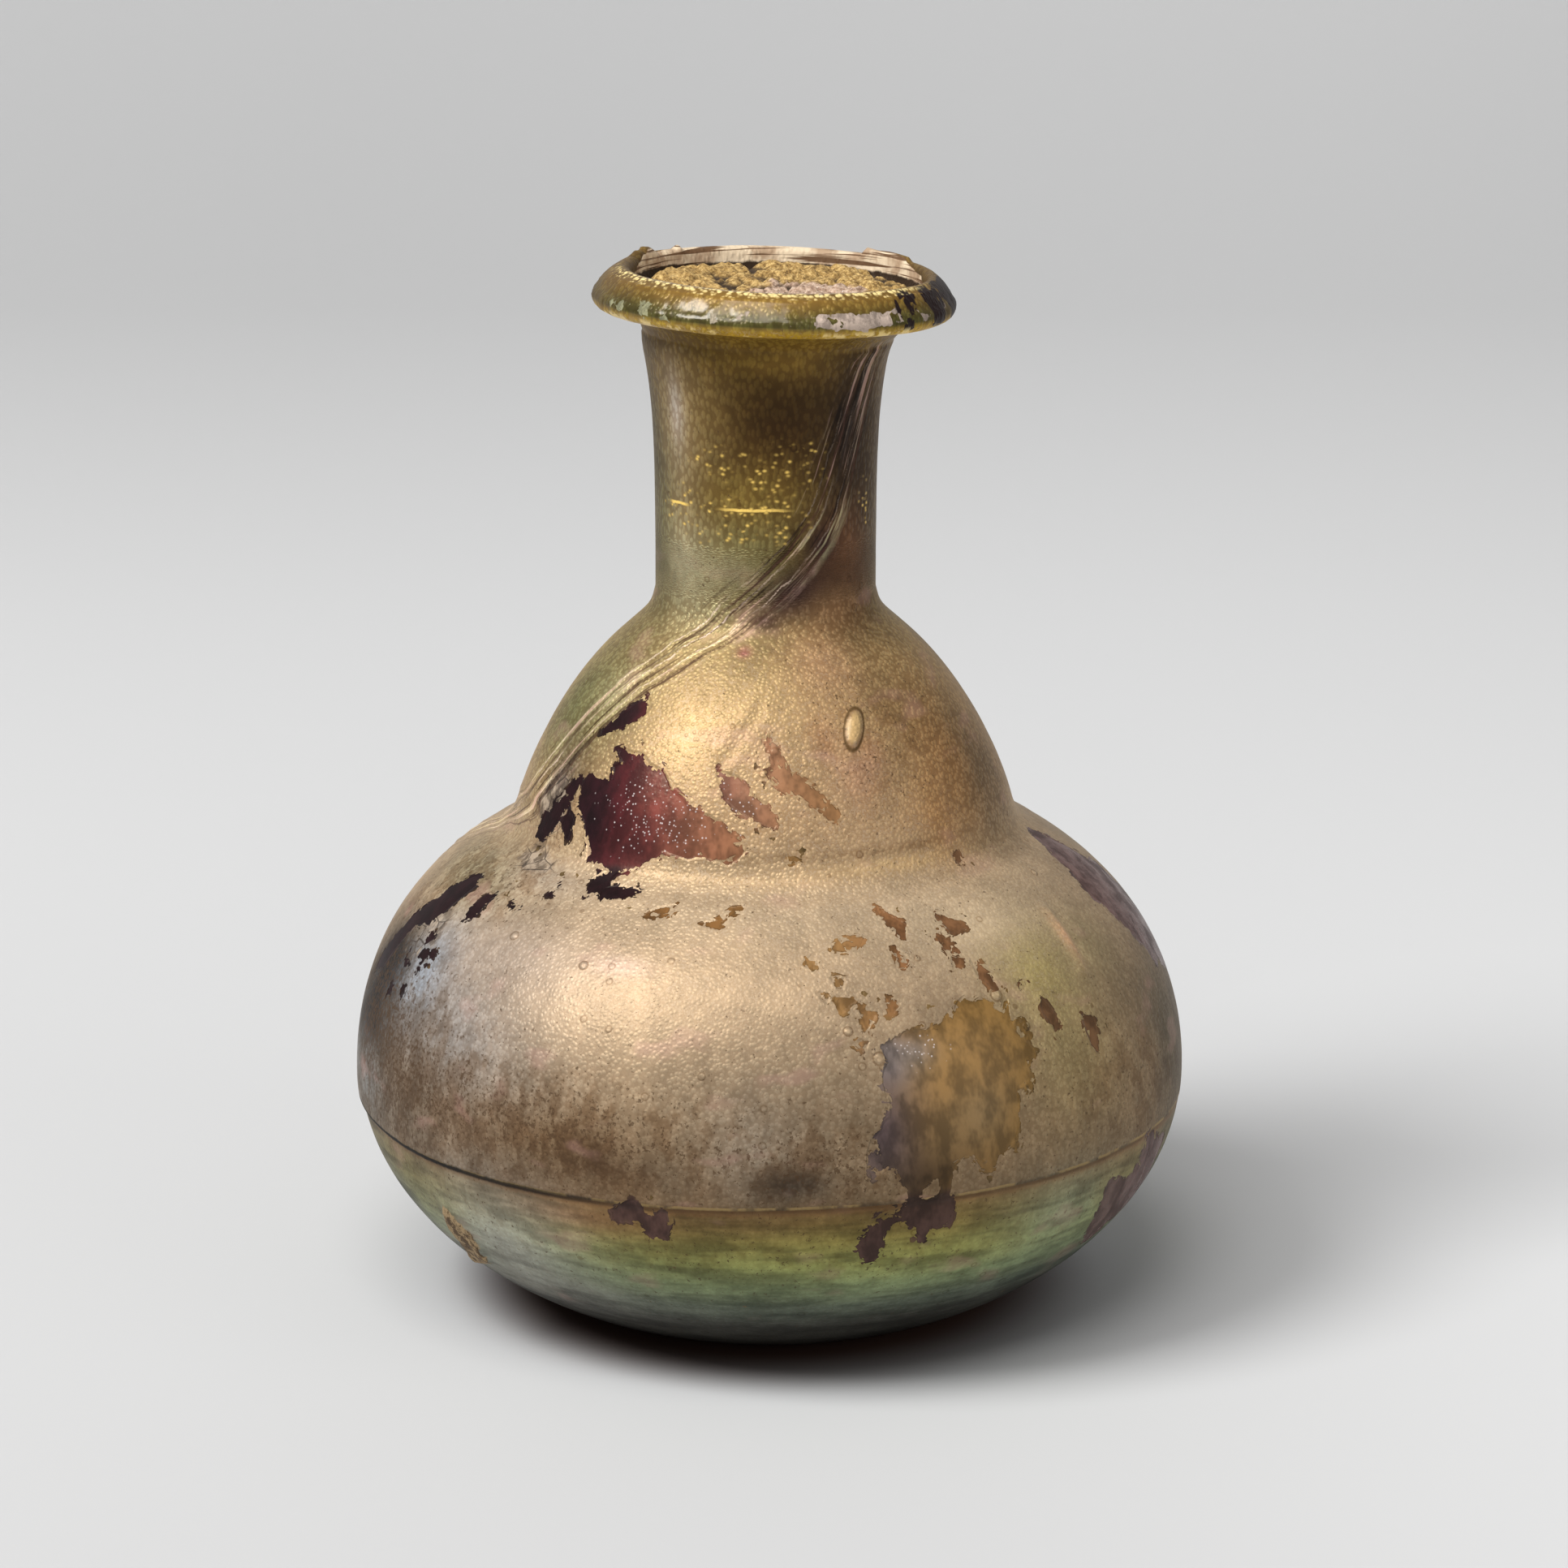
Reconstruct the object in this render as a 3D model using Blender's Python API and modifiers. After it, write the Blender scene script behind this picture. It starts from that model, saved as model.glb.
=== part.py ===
import math

import bpy
import bmesh
from mathutils import Vector, noise

# Ancient blown-glass flask, standing on its flattened underside, with soil caught in its neck.
# Metres, +Z up, origin at the centre of the underside, front towards -Y.

# Outline of the glass
BELLY_RADIUS = 0.0370
BELLY_HEIGHT = 0.0208
FOOT_RADIUS = 0.0183
WAIST_RADIUS = 0.0223
WAIST_HEIGHT = 0.0433
SHOULDER_RISE = 0.0211
NECK_RADIUS = 0.0096
NECK_WAIST_HEIGHT = 0.0671
NECK_TOP_RADIUS = 0.0109
NECK_FILLET = 0.0021

# Folded rim: its heights count down from the lip
LIP_HEIGHT = 0.0924
LIP_ROUND = 0.0007
EDGE_BELOW_LIP = 0.0026
COLLAR_BELOW_LIP = 0.0058
RIM_RADIUS = 0.0159
RIM_EDGE_ROUND = 0.0010
MOUTH_RADIUS = 0.0128

# Walls, and the upper gather of glass that laps over the bowl
WALL = 0.0015
FLOOR = 0.0024
LAP_HEIGHT = 0.0190
LAP_THICKNESS = 0.0003
LAP_FADE = 0.0130

# Slump of the hot glass: sideways shifts along X and the tilt of the rim
UPPER_SHIFT = -0.00045
RIM_SHIFT = 0.00075
MOUTH_SHIFT = 0.0004
RIM_TILT = math.radians(2.0)

# Soil in the neck
SOIL_BOTTOM = 0.0700
SOIL_BELOW_LIP = 0.0010
SOIL_LUMP = 0.0006
SOIL_LUMP_SPAN = 0.0040
GAP = 0.0003

# Fullness of the curves and fineness of the facets
BOWL_POWER = 2.0
BODY_POWER = 2.25
SHOULDER_INNER_POWER = 1.3
SHOULDER_OUTER_POWER = 2.4
NECK_FLARE_POWER = 3.6
GLASS_STEPS = 44
SOIL_STEPS = 32


def clear_scene():
    for ob in list(bpy.data.objects):
        bpy.data.objects.remove(ob, do_unlink=True)


def make_material(name, colour, roughness, metallic=0.0, transmission=0.0):
    mat = bpy.data.materials.new(name)
    mat.use_nodes = True
    shader = mat.node_tree.nodes["Principled BSDF"]
    shader.inputs["Base Color"].default_value = (*colour, 1.0)
    shader.inputs["Roughness"].default_value = roughness
    shader.inputs["Metallic"].default_value = metallic
    shader.inputs["Transmission Weight"].default_value = transmission
    return mat


def spaced(low, high, count, bias=0.0):
    """Heights from low to high; bias 1 crowds them to the top, -1 to the bottom."""
    out = []
    for i in range(count):
        t = i / (count - 1)
        crowded = math.sin(t * math.pi / 2) if bias > 0 else 1 - math.cos(t * math.pi / 2)
        t += abs(bias) * (crowded - t)
        out.append(low + t * (high - low))
    return out


def smooth_step(value, low, high):
    t = min(max((value - low) / (high - low), 0.0), 1.0)
    return t * t * (3 - 2 * t)


def oval(t, power):
    """Radius of a superellipse of unit half-axes at the height t."""
    return max(1 - abs(t) ** power, 0.0) ** (1 / power)


def collar_height():
    return LIP_HEIGHT - COLLAR_BELOW_LIP


def edge_height():
    return LIP_HEIGHT - EDGE_BELOW_LIP


def body_radius(z, inset):
    radius = BELLY_RADIUS - inset
    if z < BELLY_HEIGHT:
        depth = BELLY_HEIGHT / oval(FOOT_RADIUS / BELLY_RADIUS, BOWL_POWER) - inset
        return radius * oval(min((BELLY_HEIGHT - z) / depth, 1.0), BOWL_POWER)
    rise = (WAIST_HEIGHT - BELLY_HEIGHT) / oval(WAIST_RADIUS / BELLY_RADIUS, BODY_POWER) - inset
    return radius * oval(min((z - BELLY_HEIGHT) / rise, 1.0), BODY_POWER)


def shoulder_radius(z, inset):
    t = min(max((z - WAIST_HEIGHT) / (SHOULDER_RISE - inset), 0.0), 1.0)
    if z < WAIST_HEIGHT - inset:
        return 0.0
    return (WAIST_RADIUS - inset) * (1 - t ** SHOULDER_INNER_POWER) ** (1 / SHOULDER_OUTER_POWER)


def neck_radius(z, inset):
    t = max((z - NECK_WAIST_HEIGHT) / (collar_height() - NECK_WAIST_HEIGHT), 0.0)
    if z < WAIST_HEIGHT:
        return 0.0
    return NECK_RADIUS - inset + (NECK_TOP_RADIUS - NECK_RADIUS) * t ** NECK_FLARE_POWER


def glass_radius(z, inset=0.0):
    """Radius of the glass at a height, moved inwards by inset."""
    if z < WAIST_HEIGHT:
        return body_radius(z, inset)
    shoulder = shoulder_radius(z, inset)
    neck = neck_radius(z, inset)
    return (shoulder + neck + math.hypot(shoulder - neck, NECK_FILLET)) / 2


def lapped_radius(z):
    """Outer radius above the lap, where the upper gather stands proud of the bowl."""
    fade = 1 - smooth_step(z, LAP_HEIGHT, LAP_HEIGHT + LAP_FADE)
    return glass_radius(z) + LAP_THICKNESS * fade


def arc(radius, height, round_radius, start, end, count):
    """Points round a circle, between two angles in degrees counted from +X."""
    out = []
    for i in range(count):
        a = math.radians(start + (end - start) * i / (count - 1))
        out.append((radius + round_radius * math.cos(a), height + round_radius * math.sin(a)))
    return out


def bore_radius(z, clearance=0.0):
    """Inner radius of the neck and of the funnel that opens it to the mouth."""
    t = smooth_step(z, collar_height() - WALL / 2, LIP_HEIGHT - LIP_ROUND)
    neck = glass_radius(min(z, collar_height()), WALL)
    return neck + (MOUTH_RADIUS - neck) * t - clearance


def outer_profile():
    points = [(glass_radius(z), z) for z in spaced(0.0, LAP_HEIGHT, 11, -0.2)]
    points += [(lapped_radius(z), z) for z in spaced(LAP_HEIGHT, BELLY_HEIGHT, 3)]
    points += [(lapped_radius(z), z) for z in spaced(BELLY_HEIGHT, WAIST_HEIGHT, 12, 0.6)[1:]]
    neck_foot = WAIST_HEIGHT + SHOULDER_RISE
    points += [(glass_radius(z), z) for z in spaced(WAIST_HEIGHT, neck_foot, 13, 0.5)[1:]]
    points += [(glass_radius(z), z) for z in spaced(neck_foot, collar_height(), 8)[1:]]
    return points


def rim_profile():
    edge = arc(RIM_RADIUS - RIM_EDGE_ROUND, edge_height(), RIM_EDGE_ROUND, -75, 55, 6)
    lip = arc(MOUTH_RADIUS + LIP_ROUND, LIP_HEIGHT - LIP_ROUND, LIP_ROUND, 50, 180, 5)
    return edge + lip


def inner_profile():
    points = [(bore_radius(z), z) for z in spaced(LIP_HEIGHT - LIP_ROUND, collar_height(), 5)[1:]]
    neck_foot = WAIST_HEIGHT + SHOULDER_RISE
    points += [(bore_radius(z), z) for z in spaced(collar_height(), neck_foot, 5)[1:]]
    points += [(glass_radius(z, WALL), z) for z in spaced(neck_foot, WAIST_HEIGHT, 10, -0.5)[1:]]
    points += [(glass_radius(z, WALL), z) for z in spaced(WAIST_HEIGHT, BELLY_HEIGHT, 8, -0.6)[1:]]
    points += [(glass_radius(z, WALL), z) for z in spaced(BELLY_HEIGHT, FLOOR, 8)[1:]]
    return points


def turned(name, profile, steps, collection):
    """Solid of revolution about Z; the profile starts and ends on the axis."""
    mesh = bpy.data.meshes.new(name + "_profile")
    verts = [Vector((r, 0.0, z)) for r, z in profile]
    mesh.from_pydata(verts, [(i, i + 1) for i in range(len(verts) - 1)], [])
    ob = bpy.data.objects.new(name + "_profile", mesh)
    collection.objects.link(ob)
    screw = ob.modifiers.new("Turn", "SCREW")
    screw.steps = steps
    screw.render_steps = steps
    screw.use_merge_vertices = True
    screw.merge_threshold = 0.00001
    screw.use_normal_calculate = False
    bpy.context.view_layer.update()
    evaluated = ob.evaluated_get(bpy.context.evaluated_depsgraph_get())
    solid = bpy.data.meshes.new_from_object(evaluated)
    solid.name = name
    bpy.data.objects.remove(ob, do_unlink=True)
    result = bpy.data.objects.new(name, solid)
    collection.objects.link(result)
    return result


def slumped(point):
    """Where the leaning upper part and the tilted, off-centre rim carry a point."""
    x, y, z = point
    r = math.hypot(x, y)
    tilted = smooth_step(z, NECK_WAIST_HEIGHT, collar_height())
    inside = min(max((RIM_RADIUS - r) / (RIM_RADIUS - MOUTH_RADIUS), 0.0), 1.0)
    shift = UPPER_SHIFT * smooth_step(z, BELLY_HEIGHT, WAIST_HEIGHT)
    shift += RIM_SHIFT * smooth_step(z, collar_height() - WALL, edge_height())
    shift += MOUTH_SHIFT * inside * smooth_step(z, collar_height(), LIP_HEIGHT - LIP_ROUND)
    return Vector((x + shift, y, z - math.tan(RIM_TILT) * x * tilted))


def reshape(ob, rule):
    bm = bmesh.new()
    bm.from_mesh(ob.data)
    for vert in bm.verts:
        vert.co = rule(vert.co)
    bm.normal_update()
    bm.to_mesh(ob.data)
    bm.free()
    ob.data.shade_smooth()
    ob.data.set_sharp_from_angle(angle=math.radians(35))


def make_glass(collection):
    ascending = [(0.0, 0.0)] + outer_profile() + rim_profile() + inner_profile() + [(0.0, FLOOR)]
    ob = turned("glass_bottle", ascending[::-1], GLASS_STEPS, collection)
    reshape(ob, slumped)
    return ob


def make_soil(collection):
    """Plug of soil with a lumpy top, a small gap inside the bore of the neck."""
    top = LIP_HEIGHT - SOIL_BELOW_LIP
    side_top = top - SOIL_LUMP
    profile = [(0.0, top), (bore_radius(top) * 0.33, top), (bore_radius(top) * 0.66, top)]
    profile += [(bore_radius(z, GAP), z) for z in spaced(side_top, collar_height(), 5)]
    profile += [(bore_radius(z, GAP), z) for z in spaced(collar_height(), SOIL_BOTTOM, 5)[1:]]
    profile += [(bore_radius(SOIL_BOTTOM) * 0.5, SOIL_BOTTOM - SOIL_LUMP), (0.0, SOIL_BOTTOM)]
    ob = turned("soil_plug", profile, SOIL_STEPS, collection)

    def lumpy(point):
        lump = noise.noise(Vector((point.x, point.y, 0.0)) / SOIL_LUMP_SPAN)
        raised = 1.0 if point.z > top - SOIL_LUMP / 2 else 0.0
        return slumped(Vector((point.x, point.y, point.z + raised * SOIL_LUMP * lump)))

    reshape(ob, lumpy)
    return ob


def main():
    clear_scene()
    collection = bpy.data.collections.new("ancient_glass_flask")
    bpy.context.scene.collection.children.link(collection)
    glass = make_glass(collection)
    glass.data.materials.append(make_material("weathered_glass", (0.42, 0.33, 0.18), 0.32, 0.0, 0.2))
    soil = make_soil(collection)
    soil.data.materials.append(make_material("dry_soil", (0.36, 0.24, 0.11), 0.95))


main()
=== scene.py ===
import math
from types import SimpleNamespace

import bpy
import numpy as np
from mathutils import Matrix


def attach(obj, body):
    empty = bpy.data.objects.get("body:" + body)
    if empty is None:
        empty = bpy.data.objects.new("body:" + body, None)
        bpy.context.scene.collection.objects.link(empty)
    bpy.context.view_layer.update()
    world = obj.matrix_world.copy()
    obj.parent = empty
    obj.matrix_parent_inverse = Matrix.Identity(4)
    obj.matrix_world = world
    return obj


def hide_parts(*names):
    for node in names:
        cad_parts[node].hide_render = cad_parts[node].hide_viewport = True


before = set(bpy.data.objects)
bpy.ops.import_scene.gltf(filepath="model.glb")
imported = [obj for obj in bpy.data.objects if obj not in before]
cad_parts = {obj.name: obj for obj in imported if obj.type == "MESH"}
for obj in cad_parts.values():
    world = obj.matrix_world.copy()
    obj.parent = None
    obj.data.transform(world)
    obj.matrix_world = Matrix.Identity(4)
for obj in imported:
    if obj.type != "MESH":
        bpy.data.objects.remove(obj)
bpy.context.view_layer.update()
scene = bpy.context.scene
mm = 0.001


# Noise on arrays of points

def latticeValue(cell, seed):
    # a fixed scrambling of whole numbers into values from -1 to 1
    h = (cell[0] * 374761393 + cell[1] * 668265263 + cell[2] * 69069069 + seed * 974711) & 0xFFFFFFFF
    h = ((h ^ (h >> 13)) * 1274126177) & 0xFFFFFFFF
    return ((h ^ (h >> 16)) & 0xFFFF) / 32767.5 - 1.0


def cloud(points, size, octaves=3, seed=1):
    # smooth blend of the eight lattice values round each point, in octaves of half the size and weight
    total, weight, share = 0.0, 1.0, 0.0
    for octave in range(octaves):
        place = points / (size / 2 ** octave) + 17.3 * octave
        base = np.floor(place)
        part = place - base
        part = part * part * (3 - 2 * part)
        cell = [base[..., i].astype(np.int64) for i in range(3)]
        value = 0.0
        for corner in range(8):
            step = [(corner >> i) & 1 for i in range(3)]
            side = [part[..., i] if step[i] else 1 - part[..., i] for i in range(3)]
            scrambled = latticeValue([cell[i] + step[i] for i in range(3)], seed + octave)
            value = value + side[0] * side[1] * side[2] * scrambled
        total = total + weight * value
        share += weight
        weight *= 0.5
    return total / share


def rise(value, low, high):
    # 0 below low, 1 above high, with a smooth S between
    t = np.clip((value - low) / (high - low), 0, 1)
    return t * t * (3 - 2 * t)


def bell(value, width):
    # 1 where the value is 0, falling off to both sides as exp(-(value / width) squared)
    return np.exp(-(value / width) ** 2)


# The form of the flask, the same as the solid's, in metres

flask = dict(
    bellyRadius=37.0 * mm, bellyHeight=20.8 * mm, footRadius=18.3 * mm, bowlPower=2.0, bodyPower=2.25,
    waistRadius=22.3 * mm, waistHeight=43.3 * mm, shoulderRise=21.1 * mm, shoulderInner=1.3,
    shoulderOuter=2.4, neckRadius=9.6 * mm, neckWaist=67.1 * mm, neckTop=10.9 * mm, neckFlare=3.6,
    neckFillet=2.1 * mm, lipHeight=92.4 * mm, lipRound=0.7 * mm, edgeHeight=89.8 * mm,
    collarHeight=86.6 * mm, rimRadius=15.9 * mm, edgeRound=1.0 * mm, mouthRadius=12.8 * mm,
    wall=1.5 * mm, floor=2.4 * mm, lapHeight=19.0 * mm, lapFade=13 * mm, lapTilt=0.25 * mm, kick=0.7 * mm,
    upperShift=-0.45 * mm, rimShift=0.75 * mm, mouthShift=0.4 * mm, rimTilt=2.0,
    columns=368)
f = SimpleNamespace(**flask)


def oval(t, power):
    # radius of a superellipse of unit half axes at height t: (1 - t to the power) to 1 / power
    return np.maximum(1 - np.abs(t) ** power, 0) ** (1 / power)


def glassRadius(z, inset=0.0):
    # superellipse bowl and upper body, then the rounded maximum of the shoulder dome and the flaring neck
    belly, above = f.bellyRadius, z - f.bellyHeight
    depth = f.bellyHeight / oval(f.footRadius / belly, f.bowlPower) - inset
    height = (f.waistHeight - f.bellyHeight) / oval(f.waistRadius / belly, f.bodyPower) - inset
    bowl = (belly - inset) * oval(np.clip(-above / depth, 0, 1), f.bowlPower)
    body = (belly - inset) * oval(np.clip(above / height, 0, 1), f.bodyPower)
    t = np.clip((z - f.waistHeight) / (f.shoulderRise - inset), 0, 1)
    dome = (f.waistRadius - inset) * (1 - t ** f.shoulderInner) ** (1 / f.shoulderOuter)
    t = np.clip((z - f.neckWaist) / (f.collarHeight - f.neckWaist), 0, 1)
    neck = f.neckRadius - inset + (f.neckTop - f.neckRadius) * t ** f.neckFlare
    top = (dome + neck + np.hypot(dome - neck, f.neckFillet)) / 2
    return np.where(z < f.bellyHeight, bowl, np.where(z < f.waistHeight, body, top))


def boreRadius(z, clearance=0.0):
    # the neck's bore, blended by a smooth rise into the wider mouth
    neck = glassRadius(np.minimum(z, f.collarHeight), f.wall)
    t = rise(z, f.collarHeight - f.wall / 2, f.lipHeight - f.lipRound)
    return neck + (f.mouthRadius - neck) * t - clearance


def slump(points):
    # the upper part leans a little to the left, and the rim sits off centre and dips to the right
    x, y, z = points[..., 0], points[..., 1], points[..., 2]
    r = np.hypot(x, y)
    inside = np.clip((f.rimRadius - r) / (f.rimRadius - f.mouthRadius), 0, 1)
    dip = math.tan(math.radians(f.rimTilt)) * rise(z, f.neckWaist, f.collarHeight)
    shift = f.upperShift * rise(z, f.bellyHeight, f.waistHeight)
    shift = shift + f.rimShift * rise(z, f.collarHeight - f.wall, f.edgeHeight)
    shift = shift + f.mouthShift * inside * rise(z, f.collarHeight, f.lipHeight - f.lipRound)
    return np.stack([x + shift, y, z - x * dip], -1)


def evenly(points, count):
    # count points at even steps along a line of points
    points = np.array(points, float)
    along = np.concatenate([[0], np.cumsum(np.hypot(*np.diff(points, axis=0).T))])
    at = np.linspace(0, along[-1], count)
    return np.stack([np.interp(at, along, points[:, 0]), np.interp(at, along, points[:, 1])], 1)


def heights(low, high, count, radius=glassRadius):
    # rows at even steps along the turned outline between two heights
    z = np.linspace(low, high, 1500)
    return evenly(np.stack([radius(z), z], 1), count)


def arc(radius, height, size, start, end, count):
    # points round a circle's middle: size times the cosine outwards and the sine upwards
    a = np.radians(np.linspace(start, end, count))
    return np.stack([radius + size * np.cos(a), height + size * np.sin(a)], 1)


def flaskRows():
    # the closed outline from the underside's centre, up the outside, over the lip and down the inside
    neckFoot = f.waistHeight + f.shoulderRise
    lipLow = f.lipHeight - f.lipRound
    edge = arc(f.rimRadius - f.edgeRound, f.edgeHeight, f.edgeRound, -75, 55, 40)
    lip = arc(f.mouthRadius + f.lipRound, lipLow, f.lipRound, 50, 180, 40)
    t = np.linspace(0, 1, 40)[:, None]
    start = np.array([f.neckTop, f.collarHeight])
    pull = start + (0.6 * mm, 2 * mm)
    under = (1 - t) ** 2 * start + 2 * t * (1 - t) * pull + t ** 2 * edge[0]
    slope = lip[0] + (edge[-1] - lip[0]) * (1 - t) + np.sin(np.pi * t) * [[0.12 * mm, 0.12 * mm]]
    flat = np.linspace(0.6 * mm, f.footRadius - 0.4 * mm, 9)
    hollow = f.kick * np.clip(1 - (flat / (0.62 * f.footRadius)) ** 2, 0, 1) ** 2
    parts = [
        ("under", np.stack([flat, hollow], 1)),
        ("bowl", heights(0, f.lapHeight, 44)),
        ("body", heights(f.lapHeight, f.waistHeight, 68)),
        ("shoulder", heights(f.waistHeight, neckFoot, 47)[1:]),
        ("neck", heights(neckFoot, f.collarHeight, 30)[1:]),
        ("rim", evenly(np.concatenate([under, edge[1:], slope[1:], lip[1:]]), 46)[1:]),
        ("mouth", heights(lipLow, f.collarHeight, 9, boreRadius)[1:]),
        ("inside", heights(f.collarHeight, f.floor, 22, boreRadius)[1:]),
    ]
    rows = np.concatenate([points for name, points in parts])
    for turn in range(14):  # rounds the crease between body and shoulder
        near = bell(rows[1:-1, 1:] - f.waistHeight, 1.3 * mm)
        rows[1:-1] += 0.5 * near * ((rows[:-2] + rows[2:]) / 2 - rows[1:-1])
    zone = np.concatenate([np.full(len(points), i) for i, (name, points) in enumerate(parts)])
    return rows, zone, [name for name, points in parts]


rows, zone, zoneNames = flaskRows()
isZone = {name: (zone == i)[:, None] for i, name in enumerate(zoneNames)}
outside = zone <= zoneNames.index("neck")
angle = np.linspace(-np.pi, np.pi, f.columns, endpoint=False)[None, :]
angle = angle - 0.3 * np.sin(angle)  # columns stand closer at the front
rowR, rowZ = rows[:, :1], rows[:, 1:]

# the lap line tilts and wanders a little, so the rows near it move up or down with it
wander = f.lapTilt * np.sin(angle) + 0.08 * mm * np.sin(3 * angle + 1.0) + 0.05 * mm * np.sin(7 * angle)
nearLap = bell(rowZ - f.lapHeight, 4 * mm) * (isZone["bowl"] | isZone["body"])
gridZ = rowZ + wander * nearLap
gridR = rowR + glassRadius(gridZ) - glassRadius(rowZ)
toLeft = np.cos(angle + 1.25)  # 1 on the left, where the lap stands out most
lapThick = mm * (0.10 + 0.05 * toLeft + 0.16 * rise(toLeft, 0.55, 1.0))
gridR = gridR + isZone["body"] * lapThick * (1 - rise(rowZ, f.lapHeight, f.lapHeight + f.lapFade))

# arc length of each row
along = np.concatenate([[0], np.cumsum(np.hypot(*np.diff(rows, axis=0).T))])[:, None]
along = along + 1e-8 * np.arange(len(rows))[:, None]
climbing = outside & (rows[:, 1] > 0.001 * mm)
heightTable, alongTable = rows[climbing][:, 1], along[climbing][:, 0]


def alongAt(height):
    # arc length of the row at a height on the outside, in millimetres
    ordered = np.argsort(heightTable)
    return np.interp(np.asarray(height, float) * mm, heightTable[ordered], alongTable[ordered])


def turnTo(degrees):
    # signed turn from each column to an angle, brought between minus and plus half a turn
    return (math.radians(degrees) - angle + np.pi) % (2 * np.pi) - np.pi


def spread(degrees, height, wide, tall):
    # squared distance along the surface from a place, as a share of an oval's half sizes in millimetres
    u = turnTo(degrees) * gridR / (wide * mm)
    v = (along - alongAt(height)) / (tall * mm)
    return u * u + v * v


def gather(spots):
    # sum of soft ovals, each its strength times exp(-spread)
    return sum(strength * np.exp(-spread(*place)) for *place, strength in spots)


def depthInside(outline):
    # how far inside an outline of (degrees, height) places each point lies: the distance to the nearest side
    # in metres, positive where a ray to the right crosses an odd number of sides
    first = outline[0][0]
    u = [(math.radians(a - first) + turnTo(first)) * gridR for a, h in outline]
    v = [alongAt(h) - along for a, h in outline]
    nearest, inside = np.full(gridR.shape, 1.0), np.zeros(gridR.shape, bool)
    for i in range(len(outline)):
        u0, v0, u1, v1 = u[i - 1], v[i - 1], u[i], v[i]
        du, dv = u1 - u0, v1 - v0
        t = np.clip(-(u0 * du + v0 * dv) / (du * du + dv * dv + 1e-12), 0, 1)
        nearest = np.minimum(nearest, np.hypot(u0 + t * du, v0 + t * dv))
        crosses = (v0 > 0) != (v1 > 0)
        where = u0 - v0 * du / np.where(np.abs(dv) < 1e-9, 1e-9, dv)
        inside ^= crosses & (where > 0)
    return np.where(inside, nearest, -nearest)


def offLine(line):
    # signed distance in metres to a line of (degrees, height) places that only climbs: the turn to it times
    # the radius, over the root of 1 + slope squared; positive to its right
    line = np.array(line, float)
    place = np.interp(along, alongAt(line[:, 1]), np.radians(line[:, 0]))
    slope = np.gradient(place[:, 0], along[:, 0])[:, None] * gridR
    turn = (angle - place + np.pi) % (2 * np.pi) - np.pi
    return turn * gridR / np.sqrt(1 + slope * slope)


print("flask: outline of", len(rows), "rows")

# Where the film has come off: outlines of (degrees, height in millimetres), and what shows beneath, as tints
# in thousandths at some angles

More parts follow.
